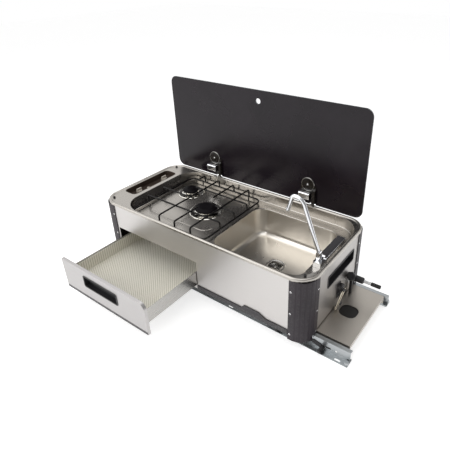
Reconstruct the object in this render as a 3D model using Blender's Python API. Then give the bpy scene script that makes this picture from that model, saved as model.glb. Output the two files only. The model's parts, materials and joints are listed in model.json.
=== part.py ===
"""Slide-out kitchen pod for a camper van: hob, sink, folding lid and tap, drawer and floor slides.

Metres, +Z up, +X along the pod towards the end with the latch, +Y to the back. The origin is on the
van floor under the middle of the pod. The pod is shown in use: lid up, drawer out, floor slides in.
"""

import math

import bmesh
import bpy
from mathutils import Matrix, Vector

MM = 0.001
CLEAR = 0.3 * MM          # gap between pieces that touch
OVERRUN = 4 * MM          # how far a cutter runs past the faces that it cuts
SHEET = 1.5 * MM          # panels of the box
THIN_SHEET = 1.2 * MM     # pressed worktop and its pans
BOX_HALF_LENGTH = 447 * MM      # to the outer faces of the end panels
BOX_HALF_DEPTH = 198 * MM       # to the outer faces of the front and back panels

# Floor slides: three nested members, measured inwards from the outer web and up from the floor
SLIDE_INSET = 44.7 * MM
SLIDE_SPREAD = BOX_HALF_DEPTH - SLIDE_INSET
SLIDE_HALF_HEIGHT = 21.5 * MM
SLIDE_DEPTH = 14 * MM
SLIDE_WALL = 2 * MM
SLIDE_LIP = 4 * MM
SLIDE_CLEAR = 0.4 * MM
SLIDE_HAT_REACH = 5 * MM
SLIDE_OVERHANG = 1 * MM
SLIDE_START = -BOX_HALF_LENGTH - SLIDE_OVERHANG
SLIDE_END_REACH = 125 * MM
SLIDE_END = BOX_HALF_LENGTH + SLIDE_END_REACH
MEMBER_SETBACK = 12 * MM
FOOT_WIDTH = 18.7 * MM
FOOT_SLOT_LENGTH = 20 * MM
FOOT_SLOT_WIDTH = 7 * MM
FOOT_SLOT_SHARES = (0.05, 0.31, 0.57, 0.83, 0.965)
TIE_WIDTH = 40 * MM
TIE_THICKNESS = 3 * MM
FRAME_RAIL_WIDTH = 20 * MM
TIE_LEFT_INSET = 68 * MM
TIE_RIGHT_INSET = 92 * MM
TIE_PLACES = (SLIDE_START + TIE_LEFT_INSET, 0.0, SLIDE_END - TIE_RIGHT_INSET)
STOP_LENGTH = 12 * MM
STOP_WIDTH = 13 * MM
STOP_HEIGHT = 10 * MM

# Lock levers on the front outer member
LEVER_PLATE = 2 * MM
LEVER_PIVOT_HEIGHT = 21.5 * MM
LEVER_GRIP_HEIGHT = 14.5 * MM
LEVER_ARM = 30 * MM
LEVER_NOSE = 16 * MM
LEVER_EYE_RADIUS = 7.5 * MM
LEVER_NOSE_RADIUS = 5 * MM
LEVER_GRIP_RADIUS = 6.5 * MM
LEVER_GRIP_LENGTH = 25.4 * MM
LEVER_INNER_INSET = 149 * MM
LEVER_OUTER_REACH = 5 * MM
LEVER_PIVOT_PLACES = {"lock_lever_inner": BOX_HALF_LENGTH - LEVER_INNER_INSET,
                      "lock_lever_outer": BOX_HALF_LENGTH + LEVER_OUTER_REACH}

# Tray that the pod stands on
TRAY_RISE = 4 * MM
TRAY_TOP = 2 * SLIDE_HALF_HEIGHT + TRAY_RISE
TRAY_SHEET = 2 * MM
TRAY_FLANGE_HEIGHT = 30 * MM
TRAY_FLANGE_BOTTOM = TRAY_TOP - TRAY_FLANGE_HEIGHT
TRAY_REACH = 113 * MM
TRAY_END = BOX_HALF_LENGTH + TRAY_REACH
TRAY_HEM_HEIGHT = 14 * MM
TRAY_HOLE_REACH = 17 * MM
TRAY_HOLE_START = BOX_HALF_LENGTH + TRAY_HOLE_REACH
TRAY_HOLE_LENGTH = 59 * MM
TRAY_HOLE_WIDTH = 58 * MM
TRAY_HOLE_RADIUS = 22 * MM
PAD_RADIUS = 14 * MM
PAD_HEIGHT = 3.7 * MM
PAD_INSET = 67 * MM
PAD_X = BOX_HALF_LENGTH - PAD_INSET
PAD_SLIDE_GAP = 43.3 * MM
PAD_Y = SLIDE_SPREAD - PAD_SLIDE_GAP

# Box
PANEL_HEIGHT = 210.2 * MM
PANEL_GAP = 1.5 * MM
PANEL_BOTTOM = TRAY_TOP + PANEL_GAP
PANEL_TOP = PANEL_BOTTOM + PANEL_HEIGHT
FLOOR_EDGE_HEIGHT = 15 * MM
POST_RADIUS = 52 * MM
POST_WALL = 2.2 * MM
POST_FLANGE = 14 * MM
POST_DROP = 17 * MM
POST_BOTTOM = TRAY_TOP - POST_DROP
POST_NOTCH_GAP = 1.5 * MM
POST_NOTCH_TOP = 2 * SLIDE_HALF_HEIGHT + POST_NOTCH_GAP
POST_NOTCH_CLEAR = 4.7 * MM
POST_NOTCH_REACH = SLIDE_SPREAD + POST_NOTCH_CLEAR
POST_GROOVES = 5
POST_GROOVE_DEPTH = 0.9 * MM
PANEL_POST_SETBACK = 1.5 * MM
TRIM_THICKNESS = 3 * MM
TRIM_GAP = 1 * MM
TRIM_BOTTOM = TRAY_TOP + TRIM_GAP
TRIM_HEIGHT = 18 * MM
TRIM_HUMP_RISE = 13 * MM
TRIM_HUMP_SHARES = (0.52, 0.55, 0.705, 0.78)

# Drawer and the hole for it; the drawer is shown open by DRAWER_OPEN
DRAWER_INSET = 77 * MM
DRAWER_LEFT = -BOX_HALF_LENGTH + DRAWER_INSET
DRAWER_WIDTH = 385 * MM
DRAWER_LENGTH = 375 * MM
DRAWER_HEIGHT = 55 * MM
DRAWER_OPEN = 235 * MM
DRAWER_SIDE_CLEAR = 2 * MM
DRAWER_HOLE_DROP = 95.7 * MM
DRAWER_HOLE_TOP = PANEL_TOP - DRAWER_HOLE_DROP
DRAWER_FRONT_PROUD = 4 * MM
DRAWER_FRONT_DEPTH = 11 * MM
DRAWER_FRONT_OVERLAP = 5 * MM
DRAWER_FRONT_REACH = 23 * MM
DRAWER_FRONT_END = DRAWER_LEFT + DRAWER_WIDTH + DRAWER_FRONT_REACH
DRAWER_FRONT_TOP = DRAWER_HOLE_TOP + DRAWER_FRONT_OVERLAP
DRAWER_FRONT_RADIUS = 24 * MM
DRAWER_TRIM_HEIGHT = 11 * MM
DRAWER_CORNER = 8 * MM
MAT_THICKNESS = 3 * MM
MAT_RIB = 1.2 * MM
MAT_RIBS = 32
MAT_LIFT = 6 * MM
PULL_DEPTH = 18 * MM
PULL_FLANGE = 3 * MM
PULL_FLANGE_THICKNESS = 1.3 * MM
PULL_WALL = 1.6 * MM
PULL_RADIUS = 4 * MM
DRAWER_PULL_INSET = 110 * MM
DRAWER_PULL_START = DRAWER_LEFT + DRAWER_PULL_INSET
DRAWER_PULL_WIDTH = 167 * MM
DRAWER_PULL_DROP = 66 * MM
DRAWER_PULL_BOTTOM = DRAWER_FRONT_TOP - DRAWER_PULL_DROP
DRAWER_PULL_HEIGHT = 41 * MM
END_PULL_START = -76 * MM
END_PULL_WIDTH = 180 * MM
END_PULL_DROP = 85.7 * MM
END_PULL_BOTTOM = PANEL_TOP - END_PULL_DROP
END_PULL_HEIGHT = 41 * MM

# Drawer runners: the same three nested sections, lying on their webs
RUNNER_HALF_WIDTH = 17 * MM
RUNNER_DEPTH = 12.2 * MM
RUNNER_WALL = 1.4 * MM
RUNNER_LIP = 6 * MM
RUNNER_CLEAR = 0.4 * MM
RUNNER_HAT_REACH = 2.7 * MM
RUNNER_INSET = 30 * MM
RUNNER_FRONT_SETBACK = 6 * MM
RUNNER_LENGTH = 370 * MM
RUNNER_NOTCH_CLEAR = 1.2 * MM

# Worktop: pressed sheet with a rolled rim, a raised land on the left and a sunk deck
RIM_REACH = 3 * MM
RIM_HALF_LENGTH = BOX_HALF_LENGTH + RIM_REACH
RIM_HALF_DEPTH = BOX_HALF_DEPTH + RIM_REACH
RIM_RADIUS = 66 * MM
RIM_UNDERSIDE = PANEL_TOP + CLEAR
RIM_HEIGHT = 12 * MM
RIM_TOP = RIM_UNDERSIDE + RIM_HEIGHT
RIM_WIDTH = 12 * MM
LAND_DROP = 5 * MM
LAND_HEIGHT = RIM_TOP - LAND_DROP
LAND_LENGTH = 97 * MM
RECESS_LEFT = -RIM_HALF_LENGTH + LAND_LENGTH
RECESS_MARGIN = 0.8 * MM
RECESS_LEFT_RADIUS = 80 * MM
RECESS_RIGHT_RADIUS = 88 * MM
DECK_DEPTH = 39 * MM
DECK_HEIGHT = LAND_HEIGHT - DECK_DEPTH
DECK_INSET = 16 * MM
DECK_LEFT = RECESS_LEFT + DECK_INSET
DECK_MARGIN = 4 * MM
DECK_FILLET = 3 * MM
DECK_LEFT_RADIUS = 32 * MM
DECK_RIGHT_RADIUS = 84 * MM

# Sink
SINK_INSET = 410 * MM
SINK_LEFT = RIM_HALF_LENGTH - SINK_INSET
SINK_LENGTH = 342 * MM
SINK_FRONT_MARGIN = 51 * MM
SINK_FRONT = -RIM_HALF_DEPTH + SINK_FRONT_MARGIN
SINK_WIDTH = 294 * MM
SINK_RADIUS = 45 * MM
SINK_DEPTH = 109 * MM
SINK_FLOOR = DECK_HEIGHT - SINK_DEPTH
SINK_TAPER = 6 * MM
SINK_FILLET = 22 * MM
SINK_FLANGE = 7 * MM
SINK_SHEET = 1 * MM
DRAIN_FROM_LEFT = 175 * MM
DRAIN_X = SINK_LEFT + DRAIN_FROM_LEFT
DRAIN_FROM_FRONT = 140 * MM
DRAIN_Y = SINK_FRONT + DRAIN_FROM_FRONT
DRAIN_HOLE = 28 * MM
DRAIN_FLANGE = 34 * MM
DRAIN_CUP_DEPTH = 12 * MM
WASTE_BODY_DEPTH = 32 * MM
WASTE_PIPE_RADIUS = 13 * MM
WASTE_PIPE_LENGTH = 62 * MM

# Hob
POCKET_INSET = 49 * MM
POCKET_X = -RIM_HALF_LENGTH + POCKET_INSET
POCKET_HALF_WIDTH = 30 * MM
POCKET_RADIUS = 16 * MM
POCKET_LENGTH = 229 * MM
POCKET_FRONT_MARGIN = 93 * MM
POCKET_FRONT = -RIM_HALF_DEPTH + POCKET_FRONT_MARGIN
POCKET_BACK = POCKET_FRONT + POCKET_LENGTH
POCKET_DEPTH = 25 * MM
POCKET_FLANGE = 4 * MM
KNOB_FRONT_INSET = 48 * MM
KNOB_REAR_INSET = 46 * MM
IGNITER_INSET = 96 * MM
KNOB_Y = {"knob_front": POCKET_FRONT + KNOB_FRONT_INSET, "knob_rear": POCKET_BACK - KNOB_REAR_INSET}
KNOB_SKIRT_RADIUS = 11.5 * MM
KNOB_RADIUS = 9.5 * MM
KNOB_HEIGHT = 24 * MM
KNOB_SKIRT_HEIGHT = 4 * MM
KNOB_WING = 5 * MM
IGNITER_Y = POCKET_FRONT + IGNITER_INSET
IGNITER_RADIUS = 7 * MM
IGNITER_STEM_RADIUS = 3 * MM
IGNITER_TRAVEL = 3 * MM
IGNITER_HEIGHT = 5 * MM
BURNER_STEM_RADIUS = 13 * MM
BURNER_NECK_RADIUS = 20 * MM
BURNER_STEM_DEPTH = 24 * MM
BURNER_HEAD_INSET = 7 * MM
BURNER_FLANGE_REACH = 4 * MM
BURNER_HEAD_HEIGHT = 10.7 * MM
BURNER_CAP_HEIGHT = 12 * MM
GAS_PIPE_RADIUS = 4 * MM
GAS_PIPE_DROP = 21 * MM
GAS_PIPE_HEIGHT = DECK_HEIGHT - GAS_PIPE_DROP
VALVE_LENGTH = 30 * MM
VALVE_WIDTH = 24 * MM
VALVE_HEIGHT = 22 * MM
SUPPLY_DEPTH_INSET = 32 * MM
SUPPLY_Y = BOX_HALF_DEPTH - SUPPLY_DEPTH_INSET
SUPPLY_INSET = 23 * MM
SUPPLY_X = BOX_HALF_LENGTH - SUPPLY_INSET

# Pan support: one welded wire grid that lifts off
WIRE_RADIUS = 2.2 * MM
GRID_END_GAP = 9 * MM
GRID_SINK_GAP = 10 * MM
GRID_LEFT = DECK_LEFT + GRID_END_GAP
GRID_RIGHT = SINK_LEFT - GRID_SINK_GAP
GRID_FRONT_MARGIN = 36 * MM
GRID_BACK_MARGIN = 31 * MM
GRID_FRONT = -RIM_HALF_DEPTH + GRID_FRONT_MARGIN
GRID_BACK = RIM_HALF_DEPTH - GRID_BACK_MARGIN
GRID_CORNER = 25 * MM
GRID_HEIGHT = 36 * MM
GRID_TOP = DECK_HEIGHT + GRID_HEIGHT
GRID_LAYER = 3.4 * MM
GRID_RING_RADIUS = 2.6 * MM
GRID_BEND = 9 * MM
GRID_LENGTH = GRID_RIGHT - GRID_LEFT
GRID_BAR_SHARES = (75 / 358, 151 / 358, 226 / 358, 300 / 358)
GRID_BAR_PLACES = tuple(GRID_LEFT + share * GRID_LENGTH for share in GRID_BAR_SHARES)
BURNER_REAR_Y = 80 * MM
BURNER_REAR_RADIUS = 32.5 * MM
BURNER_FRONT_RADIUS = 43 * MM
BURNERS = {"rear": (GRID_BAR_PLACES[0], BURNER_REAR_Y, BURNER_REAR_RADIUS),
           "front": (GRID_BAR_PLACES[2], 0.0, BURNER_FRONT_RADIUS)}

# Tap: base block on the deck, swivel on the block, spout folding in the swivel's fork, lever behind
TAP_INSET = 48 * MM
TAP_X = RIM_HALF_LENGTH - TAP_INSET
TAP_Y = -57 * MM
TAP_BLOCK = 27 * MM
TAP_BLOCK_HEIGHT = 20 * MM
TAP_STUD_RADIUS = 8 * MM
TAP_STUD_LENGTH = 22 * MM
SWIVEL_SHIFT_X = -4 * MM
SWIVEL_SHIFT_Y = 6.5 * MM
SWIVEL_X = TAP_X + SWIVEL_SHIFT_X
SWIVEL_Y = TAP_Y + SWIVEL_SHIFT_Y
SWIVEL_RADIUS = 8.5 * MM
SWIVEL_HEIGHT = 10.5 * MM
FOLD_RISE = 41 * MM
FOLD_HEIGHT = DECK_HEIGHT + FOLD_RISE
FOLD_RADIUS = 7.7 * MM
FOLD_HALF_WIDTH = 5.2 * MM
FORK_CHEEK = 2.4 * MM
FORK_RADIUS = 7 * MM
FORK_PIN_RADIUS = 2.4 * MM
SPOUT_RADIUS = 6 * MM
SPOUT_LEAN = -62 * MM
SPOUT_RISE = 160 * MM
SPOUT_REACH = 51 * MM
SPOUT_DROP = 41 * MM
SPOUT_BEND = 15 * MM
SPOUT_CREST = 10 * MM
LEVER_BAR_LENGTH = 136 * MM
LEVER_BAR_THICKNESS = 13 * MM
LEVER_BAR_RISE = 14.5 * MM
LEVER_BAR_HEIGHT = DECK_HEIGHT + LEVER_BAR_RISE
LEVER_BAR_PIVOT_GAP = 10.5 * MM
LEVER_TONGUE_WIDTH = 12 * MM
LEVER_TONGUE_RADIUS = 4.6 * MM
LEVER_PIN_RADIUS = 2 * MM
LEVER_SLOT_LENGTH = 8 * MM

# Lid and its hinges
LID_END_MARGIN = 24.5 * MM
LID_WIDTH = 2 * (RIM_HALF_LENGTH - LID_END_MARGIN)
LID_SHORTFALL = 26 * MM
LID_HEIGHT = 2 * RIM_HALF_DEPTH - LID_SHORTFALL
LID_GLASS = 5 * MM
LID_RADIUS = 28 * MM
LID_HOLE_RADIUS = 10 * MM
LID_HOLE_DROP = 40 * MM
HINGE_INSET = 8 * MM
HINGE_Y = RIM_HALF_DEPTH - HINGE_INSET
HINGE_RISE = 6.5 * MM
HINGE_HEIGHT = RIM_TOP + HINGE_RISE
LID_OFFSET = 6 * MM
LID_FACE_Y = HINGE_Y + LID_OFFSET
LID_BOTTOM_RISE = 0.5 * MM
HINGE_PLACES = (-216 * MM, 216 * MM)
HINGE_DISC_RADIUS = 27 * MM
HINGE_DISC_RISE = 71.5 * MM
HINGE_DISC_THICKNESS = 5 * MM
HINGE_PLATE = 3.2 * MM
HINGE_ARM_START = 21 * MM
HINGE_ARM_WIDTH = 12 * MM
HINGE_ARM_RISE = 60 * MM
HINGE_KNUCKLE_RADIUS = 5.5 * MM
HINGE_PIN_RADIUS = 1.7 * MM
HINGE_EAR_WIDTH = 5.5 * MM
HINGE_BLOCK_HALF_WIDTH = 22 * MM
HINGE_BLOCK_SHIFT = -6 * MM
HINGE_BLOCK_RISE = 18.5 * MM
HINGE_BLOCK_HEIGHT = 25 * MM
HINGE_BLOCK_DEPTH = 19 * MM
HINGE_BLOCK_RADIUS = 5 * MM
BUMPER_INSET = 33 * MM
BUMPER_X = RIM_HALF_LENGTH - BUMPER_INSET
BUMPER_Y = RIM_HALF_DEPTH - BUMPER_INSET
BUMPER_RADIUS = 4.5 * MM
BUMPER_LID_GAP = 0.8 * MM

# Gas shut-off and hose tail on the right end
VALVE_Y = 88 * MM
VALVE_DROP = 58 * MM
VALVE_Z = END_PULL_BOTTOM - VALVE_DROP
VALVE_BODY_RADIUS = 11 * MM
VALVE_BODY_LENGTH = 53 * MM
VALVE_ARM_START = 6 * MM
VALVE_ARM_WIDTH = 9 * MM
VALVE_ARM_DEPTH = 12 * MM
VALVE_BOSS_OUT = 16.5 * MM
VALVE_BOSS_X = BOX_HALF_LENGTH + VALVE_BOSS_OUT
VALVE_BOSS_RADIUS = 7 * MM
VALVE_BOSS_LENGTH = 22 * MM
VALVE_TILT = math.radians(50.3)
SHUTOFF_RADIUS = 15.5 * MM
SHUTOFF_HEIGHT = 13 * MM
SHUTOFF_LOBES = 6
SHUTOFF_LOBE_DEPTH = 1.6 * MM
TAIL_RADIUS = 4.5 * MM
TAIL_RIB = 1 * MM
TAIL_LENGTH = 26 * MM
TAIL_RIBS = 6
TAIL_CAP_RADIUS = 6.5 * MM
TAIL_CAP_LENGTH = 31 * MM

# Bail latch between the pod and its tray
LATCH_Y = 8 * MM
LATCH_PIVOT_OUT = 11 * MM
LATCH_PIVOT_DROP = 45 * MM
LATCH_PIVOT_Z = END_PULL_BOTTOM - LATCH_PIVOT_DROP
LATCH_WIDTH = 14 * MM
LATCH_STRAP = 3.5 * MM
LATCH_STRAP_SETBACK = 3 * MM
LATCH_DROP = 72 * MM
LATCH_KICK = 6 * MM
LATCH_HEAD_RADIUS = 7.2 * MM
LATCH_PLATE = 3 * MM
LATCH_PLATE_BELOW = 44 * MM
LATCH_PLATE_BOTTOM = LATCH_PIVOT_Z - LATCH_PLATE_BELOW
LATCH_PLATE_ABOVE = 12 * MM
LATCH_PLATE_TOP = LATCH_PIVOT_Z + LATCH_PLATE_ABOVE
LATCH_EAR = 3 * MM
LATCH_EAR_RADIUS = 6 * MM
LATCH_PIN_RADIUS = 2 * MM
LATCH_LUG_RADIUS = 4.3 * MM
BAIL_OUT = 7.5 * MM
BAIL_DROP = 12 * MM
BAIL_FOOT_OUT = 10 * MM
BAIL_FOOT_X = BOX_HALF_LENGTH + BAIL_FOOT_OUT
BAIL_FOOT_SHIFT = -26 * MM
BAIL_FOOT_Y = LATCH_Y + BAIL_FOOT_SHIFT
BAIL_FOOT_RISE = 7.6 * MM
BAIL_FOOT_Z = TRAY_TOP + BAIL_FOOT_RISE
BAIL_FOOT_HALF_WIDTH = 7 * MM
BAIL_HEAD_HALF_WIDTH = 12.5 * MM
BAIL_RADIUS = 2 * MM
CATCH_WIDTH = 4 * MM
CATCH_WALL = 3 * MM
CATCH_LENGTH = 10.5 * MM
CATCH_HEIGHT = 16 * MM

# Shared shapes


def wipe_scene():
    """Remove every object that is already in the file."""
    for piece in list(bpy.data.objects):
        bpy.data.objects.remove(piece, do_unlink=True)


def surface(name, colour, roughness, metallic, alpha=1.0):
    """A Principled material with the piece's own colour."""
    look = bpy.data.materials.new(name)
    look.use_nodes = True
    shader = look.node_tree.nodes["Principled BSDF"]
    shader.inputs["Base Color"].default_value = (*colour, 1.0)
    shader.inputs["Roughness"].default_value = roughness
    shader.inputs["Metallic"].default_value = metallic
    shader.inputs["Alpha"].default_value = alpha
    return look


def mesh_from(build_steps):
    """Run steps on a fresh bmesh and return it as a mesh with its faces pointing out."""
    shape = bmesh.new()
    build_steps(shape)
    bmesh.ops.recalc_face_normals(shape, faces=shape.faces)
    mesh = bpy.data.meshes.new("form")
    shape.to_mesh(mesh)
    shape.free()
    return mesh


def loft(loops, closed=False):
    """Skin through loops with equal counts; the two ends are capped unless the row of loops closes."""
    def steps(shape):
        rings = [[shape.verts.new(point) for point in loop] for loop in loops]
        pairs = list(zip(rings, rings[1:]))
        if closed:
            pairs.append((rings[-1], rings[0]))
        for first, second in pairs:
            count = len(first)
            for index in range(count):
                after = (index + 1) % count
                shape.faces.new((first[index], first[after], second[after], second[index]))
        if not closed:
            shape.faces.new(rings[0])
            shape.faces.new(rings[-1])
    return mesh_from(steps)


def prism(outline, low, high, axis="Z"):
    """Outline extruded along an axis; its points are (y, z), (x, z) or (x, y) across that axis."""
    def point(pair, level):
        across, up = pair
        return {"X": (level, across, up), "Y": (across, level, up), "Z": (across, up, level)}[axis]
    return loft([[point(pair, level) for pair in outline] for level in (low, high)])


def box(low, high):
    """Box between two opposite corners."""
    (left, front, bottom), (right, back, top) = low, high
    return prism([(left, front), (right, front), (right, back), (left, back)], bottom, top)


def rounded(low, high, radii, steps=4):
    """Rectangle with round corners between two corners; radii are for its low side and its high side."""
    (left, bottom), (right, top) = low, high
    try:
        small, large = radii
    except TypeError:
        small = large = radii
    centres = ((right - large, top - large, large, 0), (left + small, top - small, small, 1),
               (left + small, bottom + small, small, 2), (right - large, bottom + large, large, 3))
    outline = []
    for across, up, radius, quarter in centres:
        for step in range(steps + 1):
            angle = math.pi / 2 * (quarter + step / steps)
            outline.append((across + radius * math.cos(angle), up + radius * math.sin(angle)))
    return outline


def grown(low, high, reach):
    """Corners of a rectangle that is larger by the same reach on every side."""
    return (low[0] - reach, low[1] - reach), (high[0] + reach, high[1] + reach)


def level(outline, height):
    """Outline laid flat at a height."""
    return [(across, along, height) for across, along in outline]


def circle(radius, height=0.0, centre=(0.0, 0.0), sides=18):
    """Flat ring of points round a vertical axis."""
    turns = [2 * math.pi * side / sides for side in range(sides)]
    return [(centre[0] + radius * math.cos(turn), centre[1] + radius * math.sin(turn), height) for turn in turns]


def turned(profile, centre=(0.0, 0.0), sides=18, hollow=False):
    """Solid turned from (radius, height) points; a hollow profile is a closed ring of points."""
    return loft([circle(radius, height, centre, sides) for radius, height in profile], closed=hollow)


def aimed(mesh, direction, start):
    """Move a form from the +Z axis to a line that begins at a point."""
    turn = Vector((0.0, 0.0, 1.0)).rotation_difference(Vector(direction)).to_matrix().to_4x4()
    mesh.transform(Matrix.Translation(start) @ turn)
    return mesh


def rod(radius, start, end, sides=16):
    """Plain cylinder between two points."""
    line = Vector(end) - Vector(start)
    return aimed(turned([(radius, 0.0), (radius, line.length)], sides=sides), line, start)


def tube(points, radius, sides=8, closed=False):
    """Round bar swept along points, its section carried from point to point without a twist."""
    path = [Vector(point) for point in points]
    count = len(path)
    loops = []
    side = None
    for index, here in enumerate(path):
        before = path[index - 1] if closed or index else here
        after = path[(index + 1) % count] if closed or index < count - 1 else here
        along = (after - before).normalized()
        side = along.orthogonal() if side is None else side - along * side.dot(along)
        side.normalize()
        other = along.cross(side)
        turns = [2 * math.pi * step / sides for step in range(sides)]
        loops.append([here + radius * (math.cos(turn) * side + math.sin(turn) * other) for turn in turns])
    return loft(loops, closed=closed)


def bent(corners, bend, steps=2):
    """Path through corner points with each inner corner rounded by a curve that starts at a bend's length."""
    path = [Vector(corners[0])]
    for before, corner, after in zip(corners, corners[1:], corners[2:]):
        corner = Vector(corner)
        start = corner + (Vector(before) - corner).normalized() * bend
        end = corner + (Vector(after) - corner).normalized() * bend
        for step in range(steps + 1):
            share = step / steps
            path.append((1 - share) ** 2 * start + 2 * share * (1 - share) * corner + share ** 2 * end)
    path.append(Vector(corners[-1]))
    return path


def joined(*meshes):
    """Several separate forms in one mesh."""
    def steps(shape):
        for mesh in meshes:
            shape.from_mesh(mesh)
    return mesh_from(steps)


def piece(name, mesh, look, pivot=(0.0, 0.0, 0.0), smooth=True):
    """Object with its origin at a pivot; the mesh is given in world places."""
    mesh.transform(Matrix.Translation(-Vector(pivot)))
    made = bpy.data.objects.new(name, mesh)
    made.location = pivot
    mesh.name = name
    mesh.materials.append(look)
    if smooth:
        mesh.shade_smooth()
        mesh.set_sharp_from_angle(angle=math.radians(35))
    bpy.context.scene.collection.objects.link(made)
    return made


def combine(target, mesh, operation):
    """Add or take away a form with a Boolean; the helper object stays out of the render."""
    helper = bpy.data.objects.new(target.name + "_helper", mesh)
    helper.hide_render = True
    helper.display_type = "WIRE"
    bpy.context.scene.collection.objects.link(helper)
    modifier = target.modifiers.new(operation.title(), "BOOLEAN")
    modifier.operation = operation
    modifier.solver = "EXACT"
    modifier.object = helper


def cut(target, *meshes):
    """Take separate forms away from a piece."""
    combine(target, joined(*meshes), "DIFFERENCE")


def fuse(target, *meshes):
    """Weld forms on to a piece, one after the other."""
    for mesh in meshes:
        combine(target, mesh, "UNION")


# Nested sliding sections, shared by the floor slides and the drawer runners


def channel_outline(depth, half, wall, lip, foot=0.0):
    """Lipped channel as (depth from the web's outer face, place across); a foot runs out from its low edge."""
    lower = [(0.0, -half)] if not foot else [(-foot, -half)]
    upper = [(0.0, half)] if not foot else [(0.0, half), (0.0, wall - half), (-foot, wall - half)]
    return lower + [
        (depth, -half), (depth, wall + lip - half), (depth - wall, wall + lip - half),
        (depth - wall, wall - half), (wall, wall - half), (wall, half - wall),
        (depth - wall, half - wall), (depth - wall, half - wall - lip), (depth, half - wall - lip),
        (depth, half)] + upper


def nested(depth, half, wall, clear):
    """Offset, depth and half width of the channel that slides inside another."""
    step = wall + clear
    return step, depth - 2 * step, half - step


def hat_outline(depth, half, wall, lip, clear, reach):
    """Hat section whose feet run in the middle channel and whose crown stands out past the outer one."""
    step, _, middle_half = nested(depth, half, wall, clear)
    back = 2 * step
    feet = middle_half - step
    legs = middle_half - wall - lip - clear
    crown = depth + reach
    return [(back, feet), (back + wall, feet), (back + wall, legs), (crown, legs), (crown, -legs),
            (back + wall, -legs), (back + wall, -feet), (back, -feet), (back, wall - legs),
            (crown - wall, wall - legs), (crown - wall, legs - wall), (back, legs - wall)]


SLIDE_SECTION = (SLIDE_DEPTH, SLIDE_HALF_HEIGHT, SLIDE_WALL)
RUNNER_SECTION = (RUNNER_DEPTH, RUNNER_HALF_WIDTH, RUNNER_WALL)


# Floor slides and tray


def slide_outline(section, side, offset=0.0):
    """Turn a section into (y, z) points for the front slide (side -1) or the rear one (side +1)."""
    return [(side * (SLIDE_SPREAD - offset - depth), SLIDE_HALF_HEIGHT + across) for depth, across in section]


def foot_slots(side):
    """Cutters for the bolt slots in an outer member's foot."""
    length = SLIDE_END - SLIDE_START
    middle = side * (SLIDE_SPREAD + FOOT_WIDTH / 2)
    slots = []
    for share in FOOT_SLOT_SHARES:
        place = SLIDE_START + share * length
        low = (place - FOOT_SLOT_LENGTH / 2, middle - FOOT_SLOT_WIDTH / 2)
        high = (place + FOOT_SLOT_LENGTH / 2, middle + FOOT_SLOT_WIDTH / 2)
        outline = rounded(low, high, FOOT_SLOT_WIDTH / 2 - CLEAR, 2)
        slots.append(prism(outline, -OVERRUN, SLIDE_WALL + OVERRUN))
    return slots


def build_slide(word, side, zinc):
    """One floor slide: outer member with its foot, middle member and hat-shaped inner member."""
    outer = channel_outline(*SLIDE_SECTION, SLIDE_LIP, FOOT_WIDTH)
    made = piece("slide_outer_" + word, prism(slide_outline(outer, side), SLIDE_START, SLIDE_END, "X"), zinc)
    fuse(made, end_stops(side))
    cut(made, *foot_slots(side))
    offset, depth, half = nested(*SLIDE_SECTION, SLIDE_CLEAR)
    middle = slide_outline(channel_outline(depth, half, SLIDE_WALL, SLIDE_LIP), side, offset)
    piece("slide_mid_" + word, prism(middle, SLIDE_START, SLIDE_END - MEMBER_SETBACK, "X"), zinc)
    hat = slide_outline(hat_outline(*SLIDE_SECTION, SLIDE_LIP, SLIDE_CLEAR, SLIDE_HAT_REACH), side)
    piece("slide_inner_" + word, prism(hat, SLIDE_START, TRAY_END, "X"), zinc)


def end_stops(side):
    """Blocks on the foot at both ends of an outer member, which meet the tray's flange."""
    start = SLIDE_SPREAD + (FOOT_WIDTH - STOP_WIDTH) / 2
    across = sorted((side * start, side * (start + STOP_WIDTH)))
    stops = []
    for place in (SLIDE_START + CLEAR, SLIDE_END - STOP_LENGTH - CLEAR):
        outline = rounded((place, across[0]), (place + STOP_LENGTH, across[1]), STOP_WIDTH / 4, 2)
        stops.append(prism(outline, SLIDE_WALL / 2, SLIDE_WALL + STOP_HEIGHT))
    return joined(*stops)


def build_cross_frame(zinc):
    """Flat ladder frame that ties the outer members together on the van floor."""
    reach = SLIDE_SPREAD - SLIDE_DEPTH - CLEAR
    half = TIE_WIDTH / 2
    made = piece("cross_frame", box((TIE_PLACES[0] - half, -reach, 0.0), (TIE_PLACES[2] + half, reach, TIE_THICKNESS)),
                 zinc)
    side = reach - FRAME_RAIL_WIDTH
    windows = [prism(rounded((left + half, -side), (right - half, side), FRAME_RAIL_WIDTH / 2, 3), -OVERRUN,
                     TIE_THICKNESS + OVERRUN) for left, right in zip(TIE_PLACES, TIE_PLACES[1:])]
    cut(made, *windows)


def link_outline(first, first_radius, second, second_radius, steps=6):
    """Outline of a strap round two eyes, as seen across its plate."""
    outline = []
    line = Vector(second) - Vector(first)
    lean = math.atan2(line.y, line.x)
    for centre, radius, start in ((second, second_radius, -90), (first, first_radius, 90)):
        for step in range(steps + 1):
            angle = lean + math.radians(start + 180 * step / steps)
            outline.append((centre[0] + radius * math.cos(angle), centre[1] + radius * math.sin(angle)))
    return outline


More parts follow.
